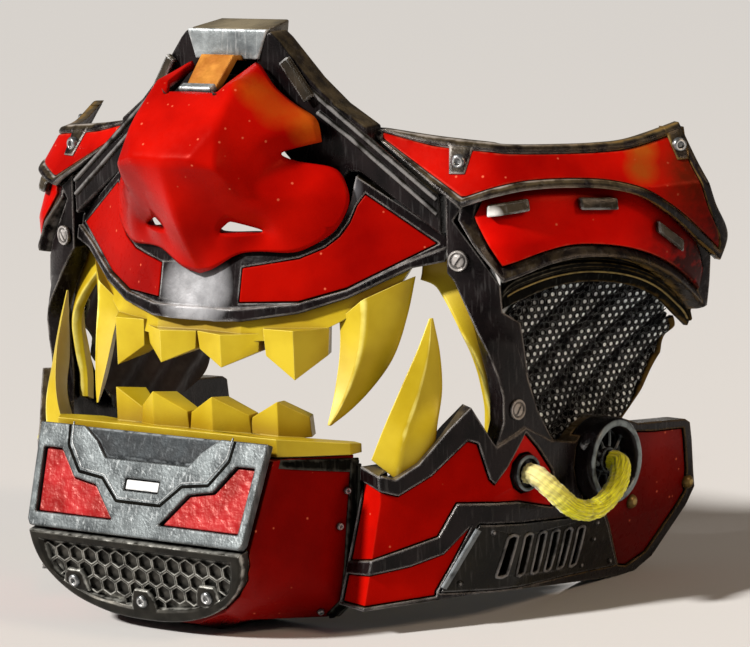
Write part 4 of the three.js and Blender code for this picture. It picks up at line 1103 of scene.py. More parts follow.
# Black enamel: olive-black gloss with fine silver scratches.
ENAMEL = Paint(
    "olive_black_enamel", ("#060605", "#11100d"), "#010101", "#8f8f86", patch_mm=7.0, recess_shade_mm=2.0, wear=0.6,
    streak=0.06, aged="#6b5428", specular=0.3, ior=1.08, roughness=(0.25, 0.4), bump=0.18,
)
# Black enamel of the trim on the chin box, little rubbed.
TRIM = replace(ENAMEL, name="black_trim_enamel", wear=0.22)
# Near-black enamel line laid along the groove of the chin plate.
GROOVE_BLACK = replace(ENAMEL, name="black_groove_line", wear=0.0, streak=0.0, aged="", bump=0.0)
# Cast comb of the grille: dark metal with rubbed rims.
COMB = Paint(
    "dark_cast_metal", ("#2a2a27", "#4c4a45"), "#050505", "#b0b0aa", patch_mm=5.0, recess_shade_mm=1.2, recess_shade_depth=0.6,
    wear=0.9, metallic=0.6, roughness=(0.3, 0.45),
)
# The same metal blackened, on the frame of the grille.
COMB_DARK = replace(COMB, name="blackened_cast_metal", body=("#14130f", "#2b2924"))
# Gold-yellow satin paint on the teeth: warm, with crisp pale edges and brown painted shade on their sheltered sides.
GOLD = Paint(
    "gold_yellow_paint", ("#b09714", "#c4ad25"), "#5a2c03", "#f2e67a", patch_mm=14.0, recess_shade_mm=9.0, recess_shade_depth=0.75,
    wear=0.85, edge_mm=0.35, rub_mm=6.0, roughness=(0.32, 0.44), glint="#fff4bc", specular=0.6, bump=0.05,
)
# Copper paint on the tab of the nose bridge.
COPPER = Paint(
    "copper_paint", ("#a9671f", "#cf8e38"), "#2a1606", "#e8bd7c", patch_mm=7.0, metallic=0.4, roughness=(0.35, 0.5),
    bump=0.2,
)
# Bare dark brown inside of the castings.
INSIDE = Paint(
    "brown_casting_inside", ("#150d0a", "#261812"), "#060403", "#4c3a2e", patch_mm=12.0, roughness=(0.55, 0.75),
    recess_shade_depth=0.4, bump=0.3,
)
# Wire of the side vents: black, with painted light in each cell, a bright dot on its floor that is brighter toward the
# lit crests of the folds.
WIRE = Paint(
    "black_wire_mesh", ("#060607", "#141416"), "#000000", "#f2f8f9", patch_mm=6.0, recess_shade_depth=0.0, wear=1.0,
    edge_mm=0.05, rub_mm=5.0, ior=1.05, roughness=(0.22, 0.36), bump=0.02,
)
# Pale sheet behind the wire, its pale colour painted light that shows through the mesh.
PALE_SHEET = Paint(
    "pale_backing_sheet", ("#5d6668", "#d3dbdd"), "#000000", "#e6eaea", patch_mm=7.0, recess_shade_depth=0.0, wear=0.0,
    roughness=(0.5, 0.7),
)
# White satin plastic of the chin light.
WHITE = Paint(
    "white_satin_plastic", ("#c3c5c6", "#e6e7e7"), "#4a4c4e", "#ffffff", patch_mm=4.0, recess_shade_mm=1.2, streak=0.2,
    roughness=(0.35, 0.5),
)
# Zinc-plated steel of the bolts.
ZINC = Paint(
    "zinc_plated_steel", ("#5b5e60", "#9a9d9f"), "#0b0b0c", "#dcdddd", patch_mm=1.6, recess_shade_mm=1.0, metallic=0.8,
    roughness=(0.25, 0.4),
)


@dataclass(frozen=True)
class CordFibre:
    """Brushed polyester cord: yellow fibres twisted round the core, smudged, straw-pale where it leaves the jaw."""

    name: str = "yellow_polyester_cord"
    bright: str = "#f2ee12"
    shade: str = "#b0aa08"
    smudge: str = "#2c2e08"
    straw: str = "#d9cd92"
    straw_mm: float = 9.0
    strand_mm: float = 0.45

    def material(self) -> bpy.types.Material:
        """Makes the cord's material on the piece's own UV map: u is mm along, v is mm round the cord.

        Returns:
            The node material.
        """
        made = bpy.data.materials.new(self.name)
        made.use_nodes = True
        tree = made.node_tree
        shader = tree.nodes["Principled BSDF"]
        uv = add_node(tree, "ShaderNodeUVMap", uv_map="cord").outputs["UV"]
        place = add_node(tree, "ShaderNodeTexCoord").outputs["Object"]
        drawn = add_node(
            tree, "ShaderNodeMapping",
            {"Vector": uv, "Rotation": (0.0, 0.0, 0.45), "Scale": (0.09 / self.strand_mm, 1.0 / self.strand_mm, 1.0)},
        )
        fibres = add_node(
            tree, "ShaderNodeTexNoise", {"Vector": drawn.outputs["Vector"], "Scale": 1.0, "Detail": 3.0}
        ).outputs["Fac"]
        colour = Coat(linear(self.bright), fibres, span=(0.35, 0.6)).over(tree, linear(self.shade))
        along = add_node(tree, "ShaderNodeSeparateXYZ", {"Vector": uv}).outputs["X"]
        reach = (self.straw_mm * 1.6, self.straw_mm * 0.4)
        colour = Coat(linear(self.straw), along, reach, most=0.85).over(tree, colour)
        dirt = add_node(tree, "ShaderNodeTexNoise", {"Vector": place, "Scale": per_mm(6.0), "Detail": 4.0})
        colour = Coat(linear(self.smudge), dirt.outputs["Fac"], span=(0.58, 0.72), most=0.7).over(tree, colour)
        tree.links.new(colour, shader.inputs["Base Color"])
        bump = add_node(tree, "ShaderNodeBump", {"Height": fibres, "Strength": 0.7, "Distance": 0.3 * MM})
        tree.links.new(bump.outputs["Normal"], shader.inputs["Normal"])
        shader.inputs["Roughness"].default_value = 0.75
        shader.inputs["Sheen Weight"].default_value = 0.5
        shader.inputs["Sheen Roughness"].default_value = 0.4
        return made


# ---- pieces ----


def mesh_of(name: str, shape: Shape) -> bpy.types.Mesh:
    """A smooth mesh of a shape, carried to the row's frame.

    Args:
        name: the mesh's name.
        shape: the shape, in mm in the face frame.

    Returns:
        The mesh.
    """
    mesh = bpy.data.meshes.new(name)
    mesh.from_pydata(((shape.points + REST) * MM).tolist(), [], shape.quads.tolist() + shape.tris.tolist())
    mesh.polygons.foreach_set("use_smooth", np.ones(len(mesh.polygons), bool))
    return mesh


def make_piece(
    name: str, shape: Shape, finishes: Sequence[Paint], nodes: Sequence[str] = (),
    sharp: float = 38.0,
) -> bpy.types.Object:
    """Puts a shape into the scene as a piece that rides on the mask.

    Args:
        name: the piece's name.
        shape: its mesh, in mm in the face frame.
        finishes: its finish, and the finish of its inner side if it has one.
        nodes: CAD nodes that it stands for.
        sharp: angle in degrees past which an edge stays crisp.

    Returns:
        The object.
    """
    mesh = mesh_of(name, shape)
    mesh.attributes.new("wear", "FLOAT", "POINT").data.foreach_set("value", shape.worn().astype(np.float32))
    if len(finishes) > 1:
        index = np.concatenate([shape.hidden(), np.zeros(len(shape.tris), bool)])
        mesh.polygons.foreach_set("material_index", index.astype(np.int32))
    mesh.set_sharp_from_angle(angle=math.radians(sharp))
    for finish in finishes:
        mesh.materials.append(finish.material())
    return settled(bpy.data.objects.new(name, mesh), nodes)


def settled(piece: bpy.types.Object, nodes: Sequence[str]) -> bpy.types.Object:
    """Links a piece, lets it ride on the mask and says what it stands for.

    Args:
        piece: the new object.
        nodes: CAD nodes that it stands for.

    Returns:
        The same object.
    """
    bpy.context.scene.collection.objects.link(piece)
    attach(piece, "root")
    if nodes:
        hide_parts(*nodes)
    log.info("%s: %d faces, stands for %s", piece.name, len(piece.data.polygons), ", ".join(nodes) or "no node")
    return piece


def make_pair(
    name: str, shape: Shape, finishes: Sequence[Paint], nodes: Sequence[str] = (), sharp: float = 38.0
) -> None:
    """Makes a piece on the wearer's left and its mirror image on the right.

    Args:
        name: the pieces' name without the side.
        shape: the left one's mesh.
        finishes: as in make_piece.
        nodes: CAD nodes that each stands for, without the side.
        sharp: as in make_piece.
    """
    for side in Side:
        turned_shape = shape if side is Side.LEFT else shape.mirrored()
        stands_for = [f"{node}_{side.value}" for node in nodes]
        make_piece(f"{name}_{side.value}", turned_shape, finishes, stands_for, sharp)


def recast(
    node: str, finishes: Sequence[Paint], bevel_mm: float, angle: float = 30.0,
    sink: Triple = (0.0, 0.0, 0.0), clamp: bool = False,
) -> bpy.types.Object:
    """A copy of a CAD casting with its flat faces joined and its edges broken.

    Args:
        node: the CAD node.
        finishes: its finish, and that of the faces that look sideways if they have their own.
        bevel_mm: width of the bevels.
        angle: least angle in degrees of an edge that is bevelled.
        sink: corners between the first two heights, in mm of the face frame, go down by the third.
        clamp: whether the bevels shrink so that none overlaps, for castings with very short edges.

    Returns:
        The object that stands for the node.
    """
    mesh = bpy.data.meshes.new(f"{node}_cast")
    work = bmesh.new()
    work.from_mesh(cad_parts[node].data)
    bmesh.ops.remove_doubles(work, verts=work.verts, dist=WELD_MM * MM)
    bmesh.ops.dissolve_limit(work, angle_limit=math.radians(FLAT_DEG), verts=work.verts, edges=work.edges)
    bmesh.ops.dissolve_degenerate(work, dist=SPECK_MM * MM, edges=work.edges)
    for vert in work.verts:
        if sink[0] <= vert.co.z / MM - REST[2] <= sink[1]:
            vert.co.z -= sink[2] * MM
    work.normal_update()
    for face in work.faces:
        face.smooth = True
        face.material_index = int(len(finishes) > 1 and abs(face.normal.x) > SIDEWAYS)
    work.to_mesh(mesh)
    work.free()
    stale = mesh.attributes.get("custom_normal")
    if stale is not None:
        mesh.attributes.remove(stale)
    mesh.materials.clear()
    for finish in finishes:
        mesh.materials.append(finish.material())
    piece = bpy.data.objects.new(f"{node}_cast", mesh)
    bevel = piece.modifiers.new("broken_edges", "BEVEL")
    bevel.width = bevel_mm * MM
    bevel.segments = 2
    bevel.limit_method = "ANGLE"
    bevel.angle_limit = math.radians(angle)
    bevel.use_clamp_overlap = clamp
    bevel.loop_slide = False
    normals = piece.modifiers.new("flat_faces", "WEIGHTED_NORMAL")
    normals.keep_sharp = True
    return settled(piece, [node])


class Head(Enum):
    """Heads of the small fasteners, as (share of radius, share of height) profiles from the middle to the rim."""

    SOCKET = ((0.0, 0.35), (0.42, 0.35), (0.5, 0.92), (0.62, 1.0), (0.86, 0.86), (1.0, 0.5), (1.0, -0.6), (0.0, -0.6))
    DOME = ((0.0, 1.0), (0.35, 0.95), (0.65, 0.78), (0.88, 0.45), (1.0, 0.05), (1.0, -0.6), (0.0, -0.6))


def bolt(wall: Wall, u: float, v: float, base: float, radius: float, height: float, head: Head) -> Shape:
    """A bolt head on a wall, turned from its profile.

    Args:
        wall: what it sits on.
        u: first place on the wall.
        v: second place.
        base: height of the surface under the head, in mm.
        radius: radius of the head, in mm.
        height: height of the head, in mm.
        head: which head.

    Returns:
        The turned head.
    """
    profile = [(r * radius, h * height) for r, h in head.value]
    return turned(profile, sides=16, seat=Seat.on(wall, u, v, base), wear_above=height * 0.9)


@dataclass(frozen=True)
class Cheek:
    """Cheek plate with its frame, and the band under it with its frame; columns are s and z."""

    apex: Pair = (-40.3, 61.6)
    blunt: Points = ((-34.2, 57.7), (-34.2, 60.8))
    top: Points = ((-20, 59), (-0.5, 57.3), (19, 56), (29, 55.6), (38, 55.8), (45, 57), (54, 59))
    rear: Points = ((57, 46), (59.4, 39.3), (65.6, 28.2), (65.8, 22.2))
    low: Points = (
        (57.6, 27.9), (45.4, 37.6), (39, 41.6), (29, 44.6), (21, 45.5), (13, 45.9), (5, 45.7), (-1, 44.8),
        (-10, 42.2),
    )
    rim: float = 2.1
    gap: float = 0.15
    back: float = -0.5
    rim_face: float = 2.5
    red_face: float = 1.9
    tabs: Points = ((-15.6, -8.6, 50.2, 57.6), (49.2, 55, 50, 58.2))
    tab_taper: float = 1.4
    tab_fall: float = 0.4
    tab_face: float = 2.45
    tab_bolts: Points = ((-12.1, 53.2), (52.1, 53.6))
    band_back: float = -3.7
    band_rim: float = -1.9
    band_red: float = -2.3
    band_outer: tuple[Points, ...] = (
        (
            (0.2, 22.6), (4, 23.7), (12, 26), (20.5, 27), (29.5, 26.5), (38.5, 24.6), (49.3, 19.7), (59.8, 13.1),
            (68.5, 7.4),
        ),
        ((70.1, 7.8), (65.8, 19.8)),
        (
            (64.4, 24.4), (57.4, 30.4), (45.4, 40.6), (39, 44.6), (29, 47.5), (21, 48.4), (5, 48.5), (-1, 47.6),
            (-8, 45.8),
        ),
        ((-11.6, 43.8), (-12, 38.8)),
    )
    band_inner: tuple[Points, ...] = (
        (
            (0, 27.1), (3.9, 28.1), (10.5, 29.8), (19, 31), (28, 30.3), (37, 28.4), (47, 24.5), (56.5, 18.9),
            (63.6, 14),
        ),
        ((63.6, 14.4), (63.3, 18)),
        ((63.1, 20), (57, 29.2), (45, 38.9), (38.7, 42.9), (28.7, 45.8), (20.8, 46.7), (5, 46.9), (-1, 46), (-4.6, 45)),
        ((-6.4, 44.3), (-7.4, 39.4)),
    )
    arch_low: Points = (
        (2.1, 15.1), (8, 16.8), (16.8, 19), (26, 19.8), (35.5, 18.9), (46, 16.4), (55.5, 12.5), (67, 6), (75.5, 1.4),
    )
    arch_high: Points = (
        (0.9, 24.5), (3, 27), (11, 29.4), (20, 30.4), (29, 30), (38.5, 28), (49.3, 23.6), (60, 17), (69.6, 11),
        (73.6, 5.3),
    )
    arch_back: float = -6.4
    arch_face: float = -4.6
    arch_line: float = 0.26
    cover_span: tuple[Pair, Pair] = ((-14, 8), (26, 50))
    cover_depth: Pair = (-8.2, -7.2)

    def outline(self) -> list[Pair]:
        """Outline of the cheek plate from its apex round the top, rear and low edges."""
        return [self.apex, *self.top, *self.rear, *self.low]

    def frame_shape(self) -> Shape:
        """Raised rim round the cheek plate, ruled between its outline and the outline drawn in.

        Returns:
            The closed rim.
        """
        inner = inset(self.outline(), self.rim)
        outer = np.array([*self.blunt, *self.outline()[1:]], float)
        twin = np.vstack([inner[:1], inner[:1], inner[1:]])
        rear_corners = (1, 1 + len(self.top), 1 + len(self.top) + len(self.rear), len(outer) - 1)
        relief = ((0.0, -0.25), (0.22, 0.0), (0.6, 0.0), (0.8, -0.35), (1.0, -0.5))
        return framed(SKIN, Loop(outer, twin, rear_corners), self.back, self.rim_face, edge=0.45, relief=relief)

    def plate_shape(self) -> Shape:
        """Red plate: a Coons patch inside the rim.

        Returns:
            The closed plate.
        """
        edge = inset(self.outline(), self.rim + self.gap)
        t, r = len(self.top), len(self.rear)
        high = edge[0 : t + 1]
        rear = edge[t : t + r + 1][::-1]
        low = np.vstack([edge[:1], edge[t + r :][::-1]])
        start = np.vstack([edge[0], edge[0] + [0.01, 0.01]])
        patch = Patch(low, high, start, rear, low_sharp=(1,), high_sharp=(1,))
        return plate(SKIN, patch, self.back, self.red_face, edge=0.4)

    def tab_shapes(self) -> list[Shape]:
        """Two tabs of the rim that reach over the red plate.

        Returns:
            The tabs.
        """
        made = []
        for start, end, low, high in self.tabs:
            foot = ((start + self.tab_taper, low), (end - self.tab_taper, low))
            patch = Patch.between(foot, ((start, high), (end, high - self.tab_fall)))
            made.append(plate(SKIN, patch, self.back, self.tab_face, edge=0.5, step=0.9))
        return made

    def band_frame_shape(self) -> Shape:
        """Frame of the band, ruled between its outer and inner sides, crowned near its outer side and sloping down
        toward the band.

        Returns:
            The closed frame.
        """
        wall = SkirtWall(SKIN, self.band_back, self.band_rim)
        outer = [p for side in self.band_outer for p in side]
        inner = [p for side in self.band_inner for p in side]
        counts = np.cumsum([len(side) for side in self.band_outer])
        sharp = (*[int(c) for c in counts[:-1]], *[int(c) - 1 for c in counts])
        relief = ((0.0, -0.9), (0.16, 0.15), (0.3, 0.2), (0.75, -0.25), (1.0, -0.45))
        return framed(wall, Loop(outer, inner, sharp), self.band_back, self.band_rim, edge=0.5, relief=relief)

    def band_shape(self) -> Shape:
        """Red band plate: a Coons patch inside its frame.

        Returns:
            The closed band.
        """
        wall = SkirtWall(SKIN, self.band_back, self.band_red)
        low, rear, high, front = (list(side) for side in self.band_inner)
        patch = Patch(low, high[::-1], [low[0], front[-1], high[-1]], [low[-1], rear[-1], high[0]], front_sharp=(1,))
        return plate(wall, patch, self.band_back, self.band_red, edge=0.35)

    def arch_shape(self) -> Shape:
        """Dark arch between the band and the mesh, ruled from its low to its high edge.

        Returns:
            The closed arch.
        """
        patch = Patch.between(self.arch_low, self.arch_high)
        relief = ((0.0, 0.0), (0.34, 0.0), (0.4, 0.75), (0.5, 0.85), (0.58, -0.3), (1.0, -0.3))
        return plate(SKIN, patch, self.arch_back, self.arch_face, edge=0.6, relief=relief)

    def arch_line_shape(self) -> Shape:
        """Thin bronze line along the step of the arch, between its low and its high edge.

        Returns:
            The closed line.
        """
        along = np.linspace(0.03, 0.97, 24)
        low, high = run_through(self.arch_low, along), run_through(self.arch_high, along)
        profile = [(-0.22, -0.4), (-0.22, 0.1), (0.0, 0.25), (0.22, 0.1), (0.22, -0.4)]
        return swept(SKIN, low * (1.0 - self.arch_line) + high * self.arch_line, profile, self.arch_face)

    def build(self) -> None:
        """Makes both cheeks, their bands, arches, clips and bolts."""
        rim = joined([self.frame_shape(), *self.tab_shapes()])
        make_pair("cheek_rim", rim, [GUNMETAL, INSIDE], ["cheek_frame"])
        make_pair("cheek_plate", self.plate_shape(), [RED_CHEEK, INSIDE], ["cheek_panel"])
        make_pair("band_rim", self.band_frame_shape(), [GUNMETAL, INSIDE], ["band_frame"])
        make_pair("band_plate", self.band_shape(), [RED_BAND, INSIDE], ["band_panel"])
        make_pair("vent_brow", self.arch_shape(), [ENAMEL, INSIDE], ["vent_arch"])
        make_pair("arch_line", self.arch_line_shape(), [BRONZE])
        (front, rear), (low, high) = self.cover_span
        cover = Patch.between(((front, low), (rear, low)), ((front, high), (rear, high)))
        shape = plate(SKIN, cover, *self.cover_depth, edge=0.3, step=2.5)
        make_pair("corner_cover", shape, [ENAMEL, INSIDE])
        bolts = [bolt(SKIN, s, z, self.tab_face, radius=1.9, height=1.0, head=Head.SOCKET) for s, z in self.tab_bolts]
        make_pair("cheek_bolts", joined(bolts), [ZINC])
        for side in Side:
            for number in (1, 2, 3):
                recast(f"band_clip_{number}_{side.value}", [CLIP], bevel_mm=0.45)


@dataclass(frozen=True)
class Vent:
    """Side vent: a black wire mesh of small six-sided cells over a folded pale sheet; columns are s and z."""

    outline: Points = (
        (7.6, 16), (17, 20.6), (35, 20.8), (53.2, 15), (69.3, 4.8), (72, 0.4), (72.2, -5.8), (59.4, -20.2), (52, -24),
        (31, -25), (20.3, -22), (14.6, -12), (10.8, -3), (7, 11),
    )
    rail: Points = ((69.6, 4.4), (72.0, 0.6), (72.0, -5.6), (59.3, -20.0), (54, -22.8))
    face: float = -7.0
    pitch: float = 1.95
    rim: float = 0.32
    hole: float = 0.62
    sill: float = 0.3
    floor_share: float = 0.86
    floor_hole: float = 0.02
    floor_depth: float = -0.22
    # Wear of the rings of a cell; on the two floor rings it is painted light, a bright dot.
    cell_wear_and_light: tuple[float, ...] = (0.0, 0.35, 0.3, 1.0, 1.0)
    backing: float = -8.0
    backing_thick: float = 0.9
    rear_from: float = 58.0
    # Painted light of the cell floors: its growth toward the crests of the folds and its least share.
    rear_draw: Pair = (-1.0, 0.4)
    crest_light_gain: float = 1.7
    crest_light_least: float = 0.12

    def cells(self) -> Array:
        """Middles of the cells inside the outline, its rear drawn in a little.

        Returns:
            Places of shape (n, 2).
        """
        p = np.asarray(self.outline, float)
        p = np.where(p[:, :1] > self.rear_from, p + self.rear_draw, p)
        rise = self.pitch * math.sqrt(3.0) / 2.0
        rows = np.arange(math.floor(p[:, 1].min() / rise), math.ceil(p[:, 1].max() / rise))
        cols = np.arange(math.floor(p[:, 0].min() / self.pitch) - 1, math.ceil(p[:, 0].max() / self.pitch) + 1)
        spots = lattice(rows, cols, self.pitch)
        return spots[inside_outline(spots, p)]

    def mesh_shape(self) -> Shape:
        """Cells as four rings of six quads: up to a raised rim, down into the cell, and in to its floor, painted bright
        as painted light.

        Returns:
            All cells.
        """
        spots = self.cells()
        outer, hole = self.pitch / math.sqrt(3.0), self.hole * self.pitch / 2.0
        radii = np.array([outer, (outer + hole) / 2.0, hole, hole * self.floor_share, self.floor_hole])
        heights = np.array([0.0, self.rim, self.rim * self.sill, self.floor_depth, self.floor_depth])
        cells = six_sided(FOLDS, spots, radii, self.face + heights)
        # Painted light: the cell floors brighten toward the lit crests of the folds.
        rub = np.clip(self.crest_light_gain * FOLDS.rise(spots[:, 0], spots[:, 1]) + self.crest_light_least, 0.0, 1.0)
        wear = rub[:, None] * np.repeat(self.cell_wear_and_light, CELL_SIDES)[None]
        return Shape(cells.points, cells.quads[:, ::-1], wear=wear.ravel())

    def backing_shape(self) -> Shape:
        """Pale sheet under the mesh, a Coons patch between its low and its high edge.

        Returns:
            The closed sheet.
        """
        p = list(self.outline)
        low = [(2.6, 11), (6.6, -3), (10.6, -12), (16.6, -22.4), p[9], p[8], p[7], p[6]]
        high = [(2.6, 18), (14, 22.4), p[2], p[3], p[4], p[5]]
        back = self.backing - self.backing_thick
        return plate(FOLDS, Patch.between(low, high), back, self.backing, edge=0.3, step=1.6)

    def build(self) -> None:
        """Makes both vents."""
        make_pair("vent_wire", self.mesh_shape(), [WIRE], sharp=80.0)
        make_pair("vent_sheet", self.backing_shape(), [PALE_SHEET, INSIDE], ["vent_mesh"])
        flat = [(-0.7, -1.2), (-0.7, 0.3), (-0.4, 0.6), (0.4, 0.6), (0.7, 0.3), (0.7, -1.2)]
        make_pair("vent_rail", swept(FOLDS, self.rail, flat, self.face, (1, 2)), [ENAMEL])


def lattice(rows: Array, cols: Array, pitch: float, start: float = 0.0) -> Array:
    """Middles of cells in even triangles: every second row is moved on by half a pitch.

    Args:
        rows: numbers of the rows.
        cols: numbers of the columns.
        pitch: distance between neighbours, in mm.
        start: height of row 0, in mm.

    Returns:
        Places of shape (n, 2).
    """
    row, col = (a.ravel() for a in np.meshgrid(rows, cols, indexing="ij"))
    return np.stack([(col + (row % 2) / 2.0) * pitch, start + row * pitch * math.sqrt(3.0) / 2.0], -1)


def six_sided(wall: Wall, spots: Array, radii: Array, heights: Array) -> Shape:
    """Six-sided cells on a wall: rings of six points, at a radius and a height each, joined by quads.

    Args:
        wall: what the cells lie on.
        spots: middles of the cells.
        radii: radius of each ring, from the outside in.
        heights: distance of each ring out of the wall.

    Returns:
        All cells in one shape.
    """
    angle = np.pi / 6.0 + np.pi / 3.0 * np.arange(CELL_SIDES)
    corner = np.stack([np.cos(angle), np.sin(angle)], -1)
    uv = spots[:, None, None] + corner[None, None] * radii[None, :, None, None]
    d = np.broadcast_to(heights[None, :, None], uv.shape[:3])
    one = grid_quads(len(radii), CELL_SIDES, close_cols=True)
    starts = len(radii) * CELL_SIDES * np.arange(len(spots))
    return Shape(wall.point(uv[..., 0], uv[..., 1], d).reshape(-1, 3), (one + starts[:, None, None]).reshape(-1, 4))


def inside_outline(spots: Array, outline: Array) -> Array:
    """Whether points lie in a closed outline: an odd number of its edges is crossed by a ray along +u.

    Args:
        spots: points of shape (n, 2).
        outline: corners of shape (m, 2).

    Returns:
        A mark for each point.
    """
    a, b = outline[None], np.roll(outline, -1, 0)[None]
    u, v = spots[:, None, 0], spots[:, None, 1]
    spans = (a[..., 1] > v) != (b[..., 1] > v)
    fall = np.where(np.abs(b[..., 1] - a[..., 1]) < 1e-9, 1e-9, b[..., 1] - a[..., 1])
    crossing = a[..., 0] + (v - a[..., 1]) * (b[..., 0] - a[..., 0]) / fall
    return (spans & (u < crossing)).sum(1) % 2 == 1


@dataclass(frozen=True)
class Jaw:
    """Jaw with its castings, hub, grommet and cord; columns are s, z and d."""

    hub: Pair = (38.0, -28.5)
    hub_profile: Points = (
        (0, -2.1), (11.4, -2.1), (11.4, 4.3), (11.2, 5.0), (10.6, 5.6), (10.0, 5.7), (9.3, 5.6), (8.8, 5.1),
        (8.6, 4.4), (8.5, -0.2), (7.9, -0.6), (4.0, -0.6), (3.7, -0.2), (3.6, 2.6), (3.2, 3.1), (0, 3.2),
    )
    vanes: int = 9
    vane_run: Pair = (3.3, 5.5)
    vane_twist: Pair = (25.0, 25.0)
    vane_lean: Pair = (0.3, 0.25)
    vane_level: float = 0.7
    vane_bar: Points = ((-0.35, -1.0), (0.35, -1.0), (0.35, 1.6), (-0.35, 1.6))
    grommet: Pair = (6.6, -26.6)
    grommet_profile: Points = (
        (0, -0.6), (4.8, -0.6), (4.8, 1.0), (4.6, 1.5), (4.2, 1.8), (3.8, 1.6), (3.6, 1.0), (3.5, 0.4), (0, 0.4),
    )
    route: Points = (
        (6.6, -26.6, 1), (6.7, -26.9, 3.4), (8.2, -30.6, 8), (12.4, -35.4, 10.6), (20, -37.4, 11.2),
        (28.2, -35.2, 10.6), (35.2, -31.4, 8.4), (38, -28.8, 6), (38, -28.5, 3.6),
    )
    slots: int = 6
    slot_top: tuple[Pair, Pair] = ((1.1, -42.3), (5.7, -0.6))
    slot_foot: tuple[Pair, Pair] = ((-2.2, -52.0), (6.2, -0.7))
    slot_half: float = 1.6
    slot_end: float = 0.5
    plate_face: float = 1.2
    vent_edge: Points = ((-8.3, -39.2), (-12.6, -46.4), (-16.4, -53.4))
    cord_radius: float = 2.7
    cord_steps: int = 170
    cord_sides: int = 44
    cord_level: Triple = (0.3, 0.2, 1.0)
    cord_core: float = 0.97
    strands: int = 11
    strand_relief: float = 0.05
    strand_twist: float = 0.9
    wander: tuple[Triple, Triple] = ((0.03, 1.7, 2.0), (0.02, 4.1, 0.0))
    rear_bolts: Points = ((76.9, -41.4, 0.6), (52.6, -42.5, 0.0))
    strut_screws: Points = ((-11.6, 28.5, 1.0), (4.6, -10, 0.3))
    rivets: Points = ((-4.4, -40.4), (36.6, -45.2), (46.8, -58.2), (-12.6, -52.6), (33.4, -56.6), (36.2, -49.6))

    def hub_shape(self) -> Shape:
        """Cup turned from its profile, with slanting fan vanes between the boss and the rim.

        Returns:
            The cup and its vanes.
        """
        seat = Seat.on(SKIN, *self.hub)
        cup = turned(self.hub_profile, sides=40, seat=seat, wear_above=5.4)
        return joined([cup, *[self.vane_shape(seat, k) for k in range(self.vanes)]])

    def vane_shape(self, seat: Seat, number: int) -> Shape:
        """One fan vane: a thin bar from boss to rim, twisted as it runs outward.

        Args:
            seat: where it stands.
            number: which vane.

        Returns:
            The closed vane.
        """
        t = np.linspace(0.0, 1.0, 8)[:, None]
        radius = self.vane_run[0] + self.vane_run[1] * t
        twist = np.radians(self.vane_twist[0] + self.vane_twist[1] * t)
        bar = np.array(self.vane_bar)
        across = bar[None, :, 0] * np.cos(twist) + bar[None, :, 1] * np.sin(twist)
        height = self.vane_level - bar[None, :, 0] * np.sin(twist) + bar[None, :, 1] * np.cos(twist)
        angle = 2.0 * np.pi * number / self.vanes + self.vane_lean[0] + self.vane_lean[1] * t
        x = radius * np.cos(angle) - across * np.sin(angle)
        y = radius * np.sin(angle) + across * np.cos(angle)
        return capped(seat.placed(np.stack(np.broadcast_arrays(x, y, height), -1)))

    def slot_rims(self) -> list[Shape]:
        """Raised rims round the slots of the vent plate: a half-round bead carried round each slot.

        Returns:
            A rim for each slot.
        """
        bead = [(-0.4, -0.3), (-0.4, 0.12), (-0.15, 0.36), (0.15, 0.36), (0.4, 0.12), (0.4, -0.3)]
        made = []
        for i in range(self.slots):
            (a, b), (c, d) = (np.add(first, np.multiply(i, step)) for first, step in (self.slot_top, self.slot_foot))
            w, e = self.slot_half, self.slot_end
            path = [(c, d - e), (c + w, d), (a + w, b), (a, b + e), (a - w, b), (c - w, d), (c, d - e)]
            made.append(swept(SKIN, path, bead, self.plate_face, (1, 2, 4, 5), step=0.5))
        return made

    def screw_shape(self, seat: Seat) -> Shape:
        """Slotted screw in a countersunk ring: a turned ring, a low disc and a bar across it.

        Args:
            seat: where it stands.

        Returns:
            The ring, disc and bar.
        """
        collar = [(0, -0.6), (2.7, -0.6), (2.7, 0.15), (2.5, 0.3), (2.2, 0.25), (2.0, 0.0), (0, 0.0)]
        ring = turned(collar, sides=28, seat=seat, wear_above=0.2)
        disc = turned([(0, 0.3), (1.2, 0.28), (1.6, 0.1), (1.7, -0.3), (0, -0.3)], sides=24, seat=seat, wear_above=0.05)
        t = np.linspace(-1.5, 1.5, 5)[:, None]
        section = np.array([(-0.28, 0.0), (0.28, 0.0), (0.2, 0.42), (-0.2, 0.42)])
        turn = math.radians(55.0)
        x = t * math.cos(turn) - section[None, :, 0] * math.sin(turn)
        y = t * math.sin(turn) + section[None, :, 0] * math.cos(turn)
        bar = capped(seat.placed(np.stack(np.broadcast_arrays(x, y, section[None, :, 1]), -1)))
        return joined([ring, disc, bar])

    def cord_line(self) -> Array:
        """Middle line of the cord: a smooth curve through its route on the jaw."""
        through = SKIN.point(*np.asarray(self.route, float).T)
        return run_through(through, np.linspace(0.0, 1.0, self.cord_steps))

